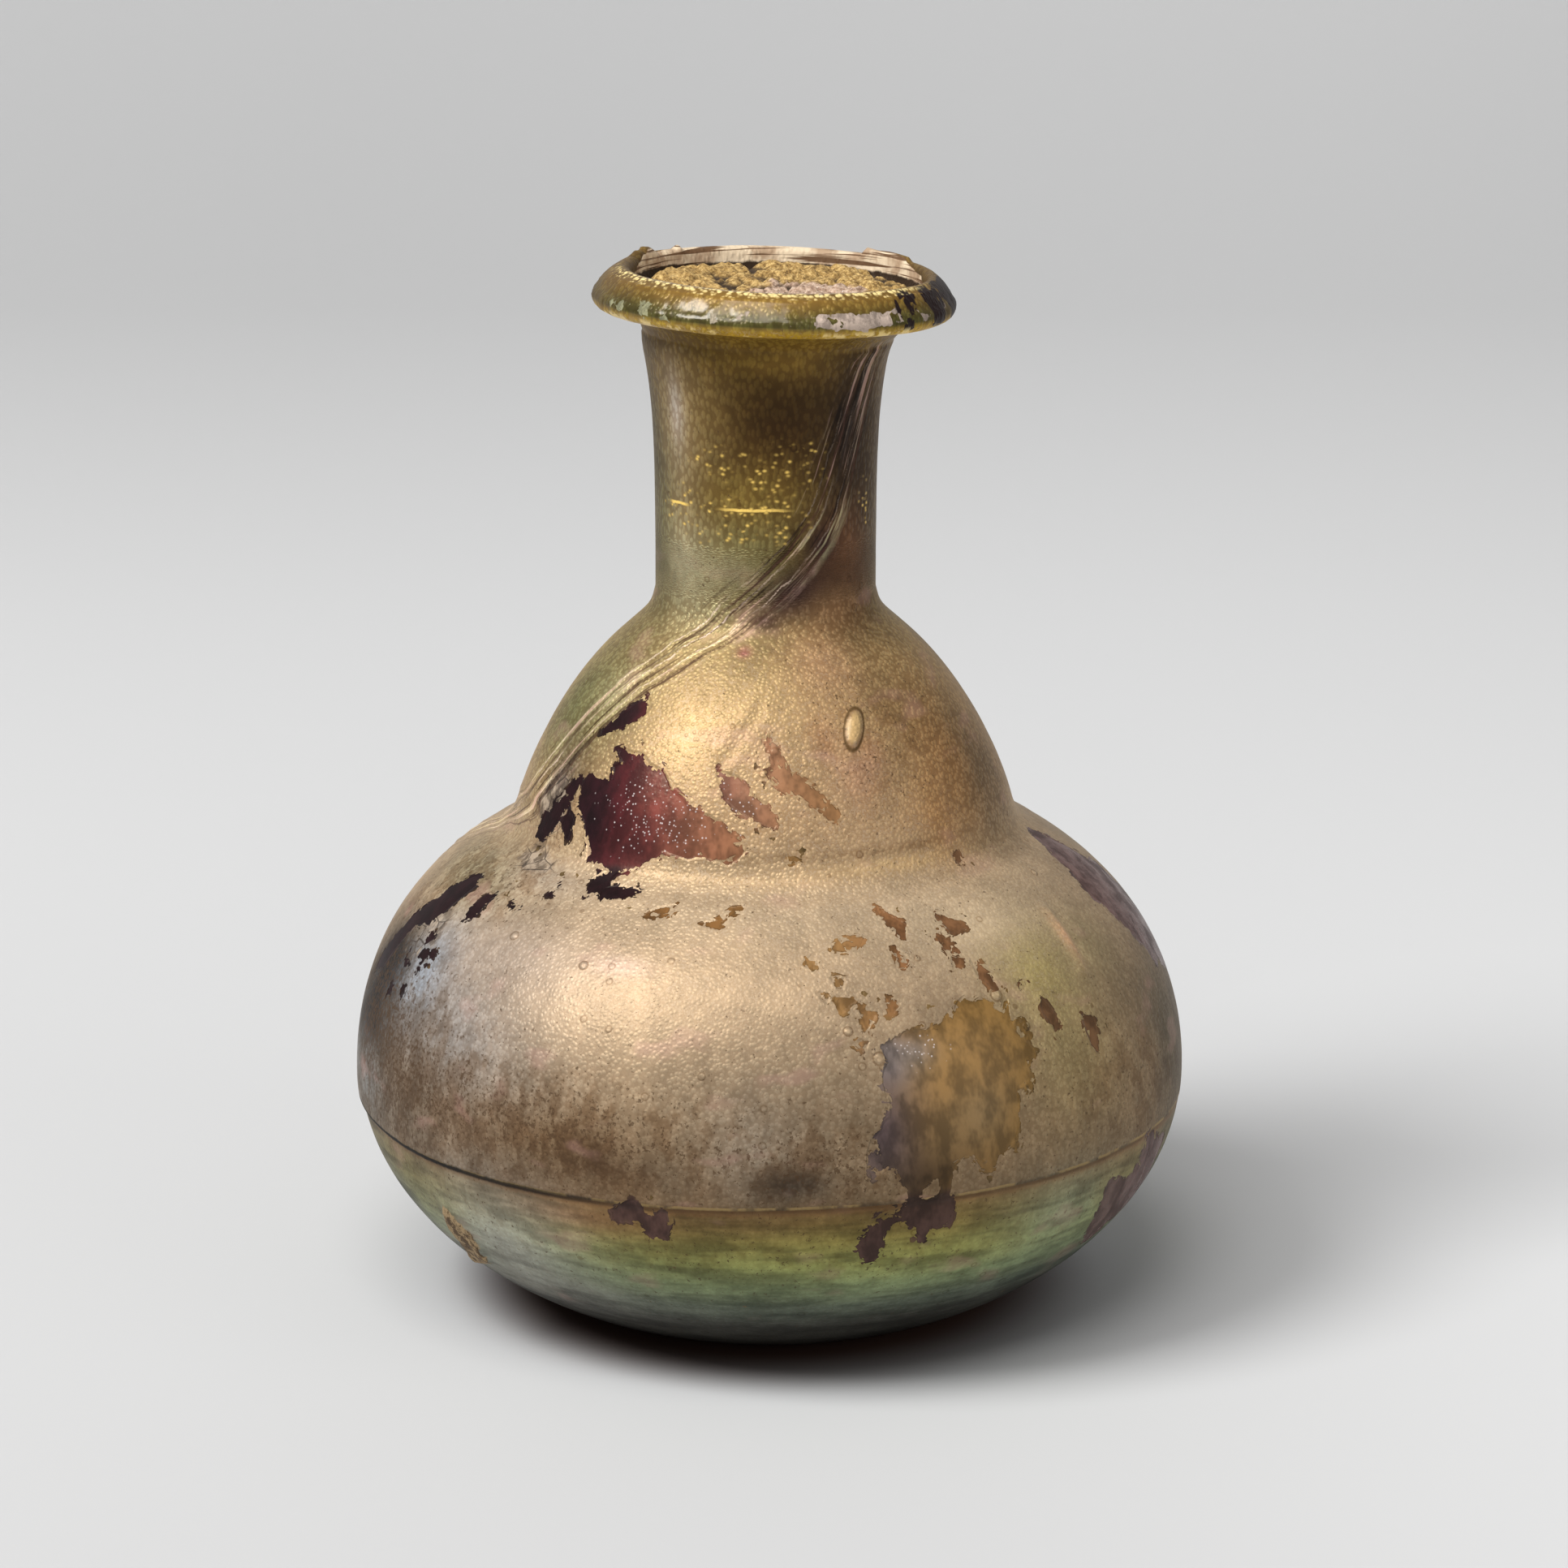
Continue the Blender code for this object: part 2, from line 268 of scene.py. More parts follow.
bareGlass = dict(
    amethyst=dict(tints=((-52, (12, 3, 4)), (-43, (22, 4, 6)), (-36, (70, 10, 12)),
                         (-27, (125, 30, 26)), (-18, (200, 75, 45)), (-6, (270, 120, 60))), places=[
        [(-51.2, 47.9), (-49.7, 50.5), (-41.1, 50.6), (-42.7, 51.6), (-39.6, 52), (-46.5, 53.1),
         (-35.5, 53), (-27.1, 51.9), (-20.9, 49.9), (-18.1, 49), (-12.2, 48.6), (-8.2, 47.5), (-3.9, 46.1),
         (-8, 44.8), (-15.9, 45.1), (-23.6, 45.2), (-27.2, 44), (-35.2, 43.2), (-42.8, 43.9), (-44.6, 45.3),
         (-46, 46.8)], [(-51.3, 53.8), (-47.9, 55), (-40, 57), (-37.3, 56.4), (-40.6, 55.3), (-47.4, 54)]]),
    blackPurple=dict(tints=((0, (12, 3, 4)),), places=[
        [(-52.6, 50.7), (-54.8, 48.9), (-61.6, 46.4), (-63.5, 44.1), (-59.5, 44.1), (-55.1, 46.4),
         (-50.6, 49)], [(-53, 46.9), (-50.3, 46.7), (-50.7, 45), (-53.2, 45.7)], [(-36.9, 41.5),
         (-38.1, 42.8), (-34.4, 43.3), (-35, 42)], [(-34.6, 42.2), (-30.9, 42.5), (-25.8, 42.4),
         (-32.7, 41.5)], [(-67.9, 40.9), (-65.4, 40.1), (-67.9, 37), (-73.6, 35.6), (-78, 31),
         (-82.4, 29.9), (-82.1, 32.2), (-79.5, 34.8), (-75.4, 37.7), (-72.3, 39.6)], [(-57, 40.5),
         (-58.5, 39.2), (-58, 38.4), (-60.6, 37.9), (-61.1, 38.7), (-59.9, 39.7)], [(-65.5, 35),
         (-61.3, 35), (-62.2, 34.4), (-66.1, 34.3)], [(-45.6, 41.1), (-44.7, 41.9), (-44.5, 41.2)],
        [(-52.1, 40.1), (-49.6, 39.9), (-50.2, 39.3)], [(-70.5, 36.8), (-68.6, 37), (-69.2, 36.2)],
        [(-66.9, 35.9), (-64.6, 36.2), (-66, 35.2)], [(-69.5, 35.2), (-67.6, 34.9), (-69.6, 34.2)],
        [(-64.8, 33.6), (-63.2, 33.9), (-63.6, 32.8)], [(-70, 33.6), (-67.2, 33.4), (-68.8, 32.6)],
        [(-66.6, 31.6), (-65.1, 32), (-65.9, 30.8)], [(-71, 31), (-69.4, 31.2), (-70.6, 29.8)]]),
    pink=dict(tints=((-13, (160, 55, 40)), (-5, (260, 120, 70)), (4, (270, 130, 65)),
                     (16, (240, 120, 50))), places=[
        [(-12.5, 52.2), (-6.9, 51.7), (-3, 50.2), (0.1, 49.7), (2.3, 47.9), (-1.8, 48.4), (-6.5, 49.3),
         (-9.6, 50.1)], [(0.1, 55.2), (3.6, 54.5), (7, 52.4), (12.3, 50.9), (17.3, 49.1), (19.4, 46.5),
         (15.1, 48.2), (9.7, 49.7), (4.4, 50.6), (-0.9, 52.3), (2.6, 52.5)]]),
    amber=dict(tints=((14, (130, 90, 70)), (18, (170, 105, 55)), (24, (230, 125, 40)),
                      (36, (190, 105, 30))), places=[
        [(16.2, 32), (20, 32.4), (24.1, 33.3), (26.7, 34.5), (30.7, 35.1), (33.5, 34.1), (36, 34),
         (38.1, 34.9), (38.1, 30.3), (35.2, 27.4), (34.3, 25.1), (32.5, 23.2), (30.4, 21.5), (25.3, 21.5),
         (23.6, 19.8), (21.8, 20.7), (17, 20.3), (14.5, 22.3), (13.1, 25.1), (15.5, 27), (15.5, 29.9),
         (18, 30.8)]]),
    chips=dict(tints=((-10, (170, 80, 25)), (10, (230, 125, 45)), (24, (190, 85, 35)),
                      (45, (140, 70, 32))), places=[
        [(-23, 41), (-21.1, 41.5), (-17.6, 41.8), (-18.6, 41.2)], [(-11.9, 40.8), (-8.7, 41), (-6.8, 41.8),
         (-4.2, 41.9), (-5.5, 41.2), (-8.3, 40.6)], [(11.4, 39.2), (13.4, 39.8), (16.9, 39.7),
         (15.5, 39.1)], [(32.6, 40.7), (36.6, 39.6), (33.7, 39.4)], [(30.8, 39.3), (32.7, 38.2),
         (30.8, 38.5)], [(10.3, 37.4), (12.2, 37.1), (11.4, 36.5)], [(7.8, 36.4), (9.5, 36.1), (8.9, 35.7)],
        [(12, 32.8), (14.1, 32.7), (13.4, 32)], [(4.2, 45.6), (7.4, 44.8), (5.1, 44.8)], [(21.5, 41.5),
         (25.5, 40.3), (24.2, 39.6)], [(22, 38.9), (23.4, 38.2), (22.2, 37.6)], [(14, 35), (15.8, 34.4),
         (14.4, 33.8)], [(18.2, 35.6), (19.8, 35.2), (18.6, 34.7)], [(34.4, 37.4), (36.8, 35.9),
         (36.2, 35.2), (34.6, 36.4)], [(44, 33.6), (45.8, 31.4), (44.4, 31), (43.2, 32.8)], [(6, 38.4),
         (8, 38.9), (7.2, 38.1)], [(40.9, 35.4), (42.6, 35.1), (41, 34.6)], [(31.3, 37.8), (32.4, 37.5),
         (30.9, 37.1)], [(46, 44.4), (48.2, 44.2), (48, 43.3), (46.2, 43.4)], [(10.5, 36), (13, 35.6),
         (11, 35)], [(50.5, 31.5), (52.5, 31), (52, 28), (50.6, 29)]]),
    purpleBrown=dict(tints=((28, (70, 36, 30)), (50, (85, 50, 38)), (66, (100, 42, 34))), places=[
        [(84.6, 42.9), (75.5, 40.8), (72.6, 38), (74.4, 36.3), (76.5, 34.2), (80.7, 31.6), (90.9, 28.3),
         (93.7, 31.7), (97.3, 35.2), (94, 38.7)], [(-22.3, 18.9), (-13.3, 18.9), (-13.2, 18), (-14.7, 16.3),
         (-16.4, 16), (-17.9, 17.3), (-21.4, 17.2)], [(24.6, 18.9), (15.1, 18.9), (13.2, 17.2),
         (11.6, 15.3), (12.3, 14.3), (15.1, 14.3), (16.5, 16.2), (17.7, 17.1), (19.7, 16.4), (20.9, 14.6),
         (22.3, 16.1), (24.6, 16.4)], [(52.8, 16.4), (62, 15.8), (63.5, 18.6), (71.5, 17.6), (72.8, 11.2),
         (61.1, 9.4), (54.9, 9.4), (52.6, 12.4)], [(150, 33), (163, 37), (178, 34), (172, 28), (158, 26)],
        [(-140, 24), (-128, 28), (-122, 25), (-131, 21)]]),
)

teeth = dict(amber=2.0, purpleBrown=1.3, amethyst=0.4)  # how far the torn edges wander, in millimetres
base = np.stack([gridR * np.sin(angle), -gridR * np.cos(angle), gridZ + 0 * angle], -1)
tear = cloud(base * (1, 1, 0.45), 1.7 * mm, 3, 77)
bare = np.full(gridR.shape, -1.0)
under = np.zeros(gridR.shape + (3,)) + (0.13, 0.08, 0.03)
for name, group in bareGlass.items():
    at, tints = np.radians([a for a, c in group["tints"]]), np.array([c for a, c in group["tints"]]) / 1000
    tint = np.stack([np.interp(angle + 0 * gridR, at, tints[:, i]) for i in range(3)], -1)
    for outline in group["places"]:
        depth = depthInside(outline)
        depth += 0.17 * mm * (depth.max() < 0.9 * mm) + teeth.get(name, 0) * mm * tear
        under += (tint - under) * rise(depth, -1.0 * mm, -0.1 * mm)[..., None]
        bare = np.maximum(bare, depth)
bare = np.where(isZone["mouth"] | isZone["inside"] | isZone["under"], -0.01, np.maximum(bare, -0.01))
print("flask: film losses placed")

spiral = [(-128, 30), (-108, 38), (-90, 43.5), (-74.3, 46.3), (-64.8, 50.7), (-57.5, 54.6), (-49.5, 57.8),
          (-34.8, 61), (-16.4, 63.9), (-5.4, 65.6), (7, 67.6), (20, 70), (30, 72.5), (37, 75.5),
          (45, 80.1), (54, 85.5), (57, 87.5)]
thread = offLine(spiral)
threadShown = rise(gridZ, 27 * mm, 42 * mm) * outside[:, None]  # it dies away behind, above the bowl

# Tints of the film

# the two darkest bowl tints, at 0 and 3 mm, are painted shade under the belly
bowlBands = dict(  # heights in millimetres, and tints in thousandths
    heights=(0, 3, 6, 8.5, 11, 13.5, 16, 18, 19.5, 22),
    tints=((20, 18, 15), (30, 29, 26), (55, 58, 48), (90, 112, 80),
           (175, 225, 108), (235, 250, 80), (225, 190, 52), (170, 118, 38),
           (160, 95, 42), (170, 110, 60)))
bodyBands = dict(
    heights=(19.5, 24, 30, 36, 42, 44.3, 48, 56, 62, 68, 76, 86),
    tints=((170, 115, 65), (210, 148, 90), (285, 208, 130), (385, 275, 170), (415, 300, 185),
           (450, 320, 185), (420, 280, 150), (420, 280, 135), (320, 230, 95), (170, 115, 32),
           (95, 54, 11), (135, 76, 13)))
washes = [  # degrees, height, width, tallness in millimetres, tint in thousandths, strength
    (-50, 31.5, 10, 8, (250, 235, 225), 0.9), (-80, 23.5, 9, 4, (220, 220, 215), 0.9),
    (-75, 30.5, 8, 6.5, (12, 15, 20), 0.97), (-73, 33, 6, 4, (14, 16, 20), 0.9),
    (-78, 27, 7, 3.5, (12, 14, 18), 0.9), (-78, 22.4, 9, 2.4, (230, 230, 225), 0.85),
    # (-25, 36, ...): painted highlight where the lamps' light falls on the body
    (-25, 36, 14, 6, (460, 320, 190), 0.6), (-45, 37, 9, 4, (360, 290, 240), 0.6),
    (-62, 33.5, 3.5, 5, (300, 330, 370), 0.8), (-58, 24, 8, 4, (120, 85, 55), 0.7),
    (-28, 23, 15, 3.5, (160, 95, 45), 0.85), (-3, 24.5, 5, 5, (210, 175, 135), 0.6),
    (3, 21.3, 4, 1.6, (45, 34, 25), 0.85), (-14, 21.8, 3, 2, (55, 36, 22), 0.75),
    (48, 27, 13, 9, (270, 185, 95), 0.8), (84, 26, 9, 12, (100, 75, 50), 0.85),
    (46, 36, 4.5, 5, (460, 370, 120), 0.65), (46, 29, 5, 5, (360, 280, 120), 0.5),
    (5, 41.5, 22, 2.6, (520, 390, 250), 0.6), (40, 39.8, 8, 3.4, (580, 440, 280), 0.8),
    (60, 36, 5, 4, (300, 240, 120), 0.6), (-72, 40.5, 9, 4, (200, 180, 110), 0.8),
    (-70, 29.5, 1, 1.3, (130, 125, 120), 0.7), (0, 43.6, 14, 0.9, (520, 360, 200), 0.7),
    # (32, 44.2, ...): painted highlight along the ridge beside the valley
    (32, 44.2, 7, 0.7, (740, 500, 240), 0.8), (32, 45.4, 7, 0.45, (160, 95, 45), 0.7),
    (-4, 45.3, 9, 0.4, (260, 170, 85), 0.5), (17, 54.5, 1.4, 2.2, (420, 210, 110), 0.6),
    (30, 53, 1.3, 1.8, (400, 190, 120), 0.6), (-24, 37.6, 2.5, 0.9, (600, 420, 330), 0.7),
    (44, 48, 1.2, 3.5, (200, 100, 35), 0.7), (55, 50, 1, 4.5, (380, 240, 100), 0.6),
    (62, 44, 3, 0.8, (420, 300, 170), 0.7), (-26, 17.2, 9, 1.6, (170, 75, 25), 0.8),
    (0, 17.8, 9, 1.2, (110, 65, 22), 0.7), (22, 17, 6, 1.4, (160, 105, 30), 0.6),
    (-22, 22.5, 4, 2.5, (85, 50, 26), 0.8), (30, 14, 9, 2, (240, 240, 60), 0.5),
    (-14, 28, 4, 7, (330, 240, 150), 0.5), (-70, 55, 8, 8, (130, 138, 50), 0.9),
    (-54, 56.5, 3, 2.6, (480, 440, 220), 0.6), (-59, 48.5, 2.6, 4, (130, 100, 80), 0.85),
    # (-22, 56, ...): painted highlight on the shoulder's bulge
    (-49, 42, 5, 2.2, (360, 290, 220), 0.7), (-22, 56, 5, 5, (550, 370, 170), 0.7),
    (52, 54, 8, 9, (290, 175, 70), 0.85), (17, 49, 8, 5, (450, 290, 155), 0.6),
    (24, 51.5, 2, 2.4, (360, 170, 110), 0.45), (68, 49, 5, 6, (130, 85, 45), 0.8),
    (-50, 77, 2.8, 11, (340, 260, 140), 0.85), (-30, 80, 2.6, 6, (220, 150, 50), 0.6),
    # (10, 80.5, ...): partly the soil seen through the glass, partly painted shadow of the rim; (-5, 86.2,
    # ...): painted amber glow of light through the collar onto the neck's top
    (10, 80.5, 6, 4.6, (46, 22, 5), 0.95), (-5, 86.2, 7, 1.3, (240, 145, 24), 0.8),
    (52, 76, 4, 12, (40, 22, 10), 0.9), (-40, 66, 5, 4, (350, 310, 180), 0.85),
    (-8, 68, 5, 3.6, (200, 180, 65), 0.8), (-70, 70, 3, 8, (100, 100, 35), 0.7),
    (45, 66, 6, 5, (75, 34, 16), 0.9), (22, 66.3, 4, 1.5, (35, 14, 13), 0.9),
    (33, 70, 2.2, 3, (35, 14, 13), 0.9), (8, 64.6, 2, 1.3, (45, 24, 22), 0.9),
    (19, 65.6, 1.8, 1.8, (45, 22, 20), 0.9), (46, 69.5, 2.6, 3.5, (160, 70, 30), 0.7),
    (40, 64, 3, 2, (360, 200, 90), 0.6), (43, 80, 1.5, 5, (22, 10, 8), 0.8),
    (-12, 74, 5, 2.4, (250, 165, 35), 0.6), (-50, 81, 0.9, 3, (420, 380, 360), 0.5),
    (-8.8, 61, 0.6, 0.5, (360, 70, 110), 0.7), (31, 69.6, 1.4, 1.2, (25, 10, 10), 0.9),
    (12, 65.7, 1.8, 0.9, (30, 12, 12), 0.9), (0, 63.2, 1.6, 0.9, (50, 18, 20), 0.85),
    (56, 37, 0.6, 2.3, (620, 360, 200), 0.85), (46, 47.5, 4, 5, (400, 210, 80), 0.5),
    (54, 52, 3, 5, (300, 150, 55), 0.5), (22, 60, 3.5, 4, (460, 250, 140), 0.5),
    (-48, 68, 2.6, 2.6, (340, 310, 200), 0.6), (-22, 67.5, 3, 1.6, (330, 290, 170), 0.6),
    (-80, 75, 3, 12, (80, 65, 30), 0.8), (-42, 12, 9, 7, (290, 290, 270), 0.8),
    (-74, 12, 9, 7, (70, 75, 70), 0.8), (45, 15, 7, 4, (190, 270, 210), 0.5),
    (72, 13, 8, 6, (110, 115, 90), 0.8), (74, 26, 4, 6, (90, 70, 40), 0.8),
    # (0, 4.5, ...): painted shade low on the bowl's front, under the belly
    (0, 4.5, 26, 3.2, (35, 34, 28), 0.7), (130, 30, 16, 10, (220, 205, 175), 0.8),
    (-150, 34, 14, 9, (330, 250, 150), 0.7), (170, 22, 18, 6, (140, 100, 65), 0.7),
    (-110, 24, 14, 9, (150, 150, 140), 0.8), (170, 55, 10, 7, (270, 230, 100), 0.8),
    (110, 52, 8, 7, (240, 150, 75), 0.7), (-130, 75, 6, 10, (190, 160, 80), 0.8),
    (120, 78, 5, 9, (90, 50, 20), 0.8),
]
underWashes = [  # the same for the glass beneath the film
    (21, 21.5, 5, 3.4, (34, 19, 9), 0.9), (29, 26, 3, 3, (190, 130, 65), 0.6),
    (20, 31, 2.2, 1.2, (260, 190, 110), 0.6), (17, 32, 1.5, 1, (160, 140, 140), 0.6),
    (15, 25.5, 2.6, 4, (80, 55, 58), 0.85), (17, 30.6, 2, 1.7, (125, 108, 115), 0.75),
    (21, 31.6, 1.6, 1, (220, 200, 200), 0.6), (24, 24.5, 2.4, 2.6, (170, 105, 45), 0.6),
    (28, 31, 4, 3, (240, 135, 45), 0.7), (-44, 46.5, 2.2, 2.6, (12, 3, 5), 0.8),
    (-33, 45.2, 2.4, 1, (50, 12, 12), 0.7), (-26, 49.5, 2, 1.6, (210, 45, 35), 0.6),
]
spots = dict(  # degrees, height, width, tallness, strength
    gold=[  # where the neck glints
        (-6, 73, 4.4, 0.8, 1), (2, 76.2, 4.2, 1.5, 0.8), (-51, 72.8, 1.7, 1.7, 0.9),
        (5, 71.1, 2.8, 0.8, 0.9), (-29, 70.4, 2.4, 0.9, 0.7), (14, 78.4, 2.6, 0.9, 0.6),
        (-31, 77.4, 2, 1.2, 0.4), (62, 72.5, 1, 2.5, 0.6)],
    dirt=[  # where brown specks gather
        (-32, 24.5, 20, 4.5, 1), (-62, 27, 10, 8, 0.9), (10, 23, 10, 3, 0.8), (60, 24, 14, 7, 0.5),
        (-74, 40, 8, 5, 0.6), (30, 54, 8, 7, 0.45), (0, 14, 60, 4, 0.35), (-52, 41, 6, 4, 0.5),
        (150, 26, 30, 8, 0.8), (-140, 50, 12, 8, 0.6), (-60, 48, 3.5, 4, 1.1), (-76, 29, 7, 8, 1.1)],
    crust=[(-60, 47.5, 3.2, 3.6, 1), (-68, 36.5, 3, 4, 0.8), (-57, 42.5, 4, 1.6, 0.7), (160, 40, 9, 7, 0.6)],
    # pimples: where the bare glass gets painted highlights as pale dots
    pimples=[(-28, 48.5, 5.5, 4.5, 1), (-8, 49.5, 4, 3, 0.6), (21, 31.8, 2.2, 1.3, 1), (24, 28, 6, 8, 0.22),
             (66, 38, 9, 9, 0.2)])


def banded(bands):
    # tints blended between stated heights
    tints = np.array(bands["tints"]) / 1000
    at = np.array(bands["heights"]) * mm
    return np.stack([np.interp(gridZ, at, tints[:, i]) for i in range(3)], -1)


film = np.where((isZone["bowl"] | isZone["under"])[..., None], banded(bowlBands), banded(bodyBands))
for layer, tinted in ((film, washes), (under, underWashes)):
    for *place, tint, strength in tinted:
        weight = gather([(*place, strength)]) * outside[:, None]
        layer += (np.array(tint) / 1000 - layer) * weight[..., None]
gold, dirt, crust, pimples = (gather(group) for group in spots.values())

# How far each place is above the lap, and how strong the painted shade and dirt under the lap's step are
# there

toLap = (along - alongAt(f.lapHeight / mm)) * 1000
lapDark = bell(turnTo(-66), 0.42) + 0.45 * bell(turnTo(-33), 0.25)
lapDark = lapDark + 0.22 * bell(turnTo(35), 0.7) + 0.5 * bell(turnTo(150), 0.7)

# The rim's tints in thousandths, from the underside of the collar (0) to the lip's inner edge (1); the
# bright gold of the underside, from 0.36 to 0.53, is painted glow of light through the collar

rimFirst, rimLast = np.flatnonzero(isZone["rim"])[[0, -1]]
rimAt = np.clip((along - along[rimFirst - 1]) / (along[rimLast] - along[rimFirst - 1]), 0, 1)
onRim = rimAt > 0
front = np.cos(angle) * np.ones_like(gridR)  # 1 at the front, -1 at the back
lipDown = (along - along[rimLast]) * 1000  # millimetres down the inner wall
rimTints = ((0.0, (170, 100, 18)), (0.22, (220, 135, 20)), (0.36, (400, 240, 25)),
            (0.45, (620, 390, 30)), (0.53, (460, 290, 30)), (0.58, (55, 52, 12)),
            (0.65, (90, 75, 18)), (0.71, (160, 105, 22)), (0.80, (270, 160, 32)),
            (0.92, (200, 120, 30)), (1.0, (100, 60, 25)))
stops, tints = np.array([t for t, c in rimTints]), np.array([c for t, c in rimTints]) / 1000
rimColour = np.stack([np.interp(rimAt, stops, tints[:, i]) for i in range(3)], -1)
rimEnds = (rise(np.abs(np.sin(angle)), 0.75, 1.0) * rise(rimAt, 0.4, 0.6))[..., None]
rimColour = rimColour + (np.array((0.10, 0.065, 0.025)) - rimColour) * 0.7 * rimEnds
onSlope = rise(rimAt, 0.52, 0.60) * (1 - rise(rimAt, 0.67, 0.75)) * onRim
rimPale = onSlope * (0.66 * bell(turnTo(-38), 0.42) + 0.78 * bell(turnTo(25), 0.42)
                     + 0.60 * bell(turnTo(66), 0.34) + 0.10 + 0.3 * rise(-front, 0.2, 0.6))
rimDark = rise(rimAt, 0.45, 0.55) * (1 - rise(rimAt, 0.86, 0.92)) * onRim * (
    0.7 * bell(turnTo(48), 0.12) + 0.9 * bell(turnTo(86), 0.34)
    + 0.75 * bell(turnTo(63), 0.09))
scaleTint = np.array((0.42, 0.33, 0.27)) + rise(-angle, 0.1, 0.6)[..., None] * (-0.15, -0.07, -0.12)
under = np.where((onRim & isZone["rim"])[..., None], scaleTint, under)
rimGlints = rise(rimAt, 0.30, 0.40) * bell(turnTo(-12), 0.95)
backReach = 1.35 * rise(-front, 0.10, 0.85)  # millimetres of the crest that the broken edge takes in
backLip = rise(-front, -0.15, 0.35) * rise(lipDown, -backReach - 0.1, -backReach + 0.35) * onRim
film = np.where((isZone["rim"] | isZone["mouth"])[..., None], rimColour + 0 * film, film)

print("flask: tints laid")

# Relief

tangent = np.gradient(np.stack([gridR, gridZ + 0 * angle], -1), axis=0)
tangent /= np.linalg.norm(tangent, axis=-1, keepdims=True)
across, up = tangent[..., 1], -tangent[..., 0]
outward = np.stack([across * np.sin(angle), -across * np.cos(angle), up], -1)

relief = 0.10 * mm * cloud(base, 16 * mm, 2, 3) + 0.03 * mm * cloud(base, 3.2 * mm, 3, 5)
glassBubbles = [  # degrees, height and radius in millimetres
    (36, 34.7, 0.55), (39.1, 32, 0.45), (63.9, 41.2, 0.35), (11.5, 33.5, 0.4), (15.4, 31.3, 0.55),
    (2.6, 53.8, 0.42), (-30, 37.3, 0.42), (-46, 38.2, 0.42), (29, 21.9, 0.3)]
blisters = [  # degrees, height, half width, half height, rise in millimetres
    (-20, 57.3, 0.6, 0.5, 0.1), (13, 12.6, 0.8, 0.45, 0.1), (27, 16.2, 0.8, 0.5, 0.1),
    (10, 20.2, 0.8, 0.45, 0.1), (51, 40, 0.6, 0.5, 0.1)]
blisters += [(degrees, height, wide + 0.2, wide + 0.1, 0.08) for degrees, height, wide in glassBubbles]
for degrees, height, wide, tall, lift in blisters:
    relief += lift * mm * np.clip(1 - spread(degrees, height, wide, tall), 0, 1) ** 0.8
grooves = [  # two ends in degrees and height, half width and rise in millimetres
    ((24.4, 54.1), (28, 56.1), 0.7, 0.3), ((56.6, 39), (55.2, 34.4), 0.5, 0.3),
    ((-16.8, 40.9), (-17.6, 37.3), 0.35, -0.12), ((-1, 57.2), (-12.2, 52.3), 0.3, -0.08),
    ((-3.5, 57.6), (-14, 53.4), 0.28, 0.08), ((1.5, 56.6), (-9, 52.4), 0.28, 0.06),
    ((33, 60.5), (30, 55), 0.4, 0.06)]
for start, end, wide, lift in grooves:
    away = -depthInside([start, end])
    relief += lift * mm * bell(away, wide * mm)
relief += 0.045 * mm * bell(gridZ - 42.6 * mm, 1.3 * mm) * np.sin(gridZ / (0.20 * mm))
relief += 0.10 * mm * bell(gridZ - 73.0 * mm, 0.25 * mm) * bell(turnTo(-13), 0.35)
relief += 0.07 * mm * rise(-thread, -0.3 * mm, 0.1 * mm) * rise(thread, -9 * mm, -2 * mm) * threadShown
wobble = 0.12 * mm * cloud(base, 5 * mm, 2, 21)
fibres = ((0, 0.22, 0.10), (-1.3, 0.2, 0.07), (1.2, 0.18, 0.06), (2.3, 0.2, 0.05), (-2.6, 0.2, 0.04))
for offset, wide, lift in fibres:  # place beside the thread, half width and rise in millimetres
    relief += lift * mm * bell(thread - offset * mm + wobble, wide * mm) * threadShown

scab = depthInside([(-52.7, 14.2), (-51.0, 13.0), (-48.6, 11.8), (-49.6, 8.7), (-58.5, 6.9), (-54.9, 10.2),
                    (-54.8, 12.3)])
relief += rise(scab, -0.4 * mm, 0.2 * mm) * (0.30 * mm + 0.25 * mm * cloud(base, 0.9 * mm, 2, 9))

ragged = cloud(base, 1.3 * mm, 3, 13)
worn = onRim * rise(rimAt, 0.46, 0.56) * (1 - rise(rimAt, 0.70, 0.80)) * rise(front, -0.9, -0.2)
relief += worn * 0.13 * mm * ragged
relief += 0.07 * mm * bell(rimAt - 0.80, 0.022) * rise(front, 0.1, 0.5)
relief += isZone["rim"] * backLip * 0.07 * mm * ragged
splinters = np.array([  # degrees and rise in millimetres of the broken lip behind
    (-140, 0), (-138.5, 0.34), (-136, 0), (-126, 0), (-122, 0.5), (-118, 0.62), (-116.5, 0.3), (-113, 0.42),
    (-109, 0), (120, 0), (121.5, 0.38), (131, 0.5), (139, 0.46), (144, 0.55), (145.5, 0)])
lift = np.interp(np.degrees(angle), splinters[:, 0], splinters[:, 1]) * mm
relief = np.where(isZone["under"], np.minimum(relief, 0), relief)
relief = np.where(isZone["inside"], 0, relief)
relief *= rise(gridZ, 0, 1.2 * mm) * (1 - 0.7 * isZone["mouth"])

points = base + outward * relief[..., None]
points[..., 2] += lift * isZone["rim"] * rise(rimAt, 0.84, 0.90) * (1 - rise(rimAt, 0.97, 1.0))
points = slump(points)


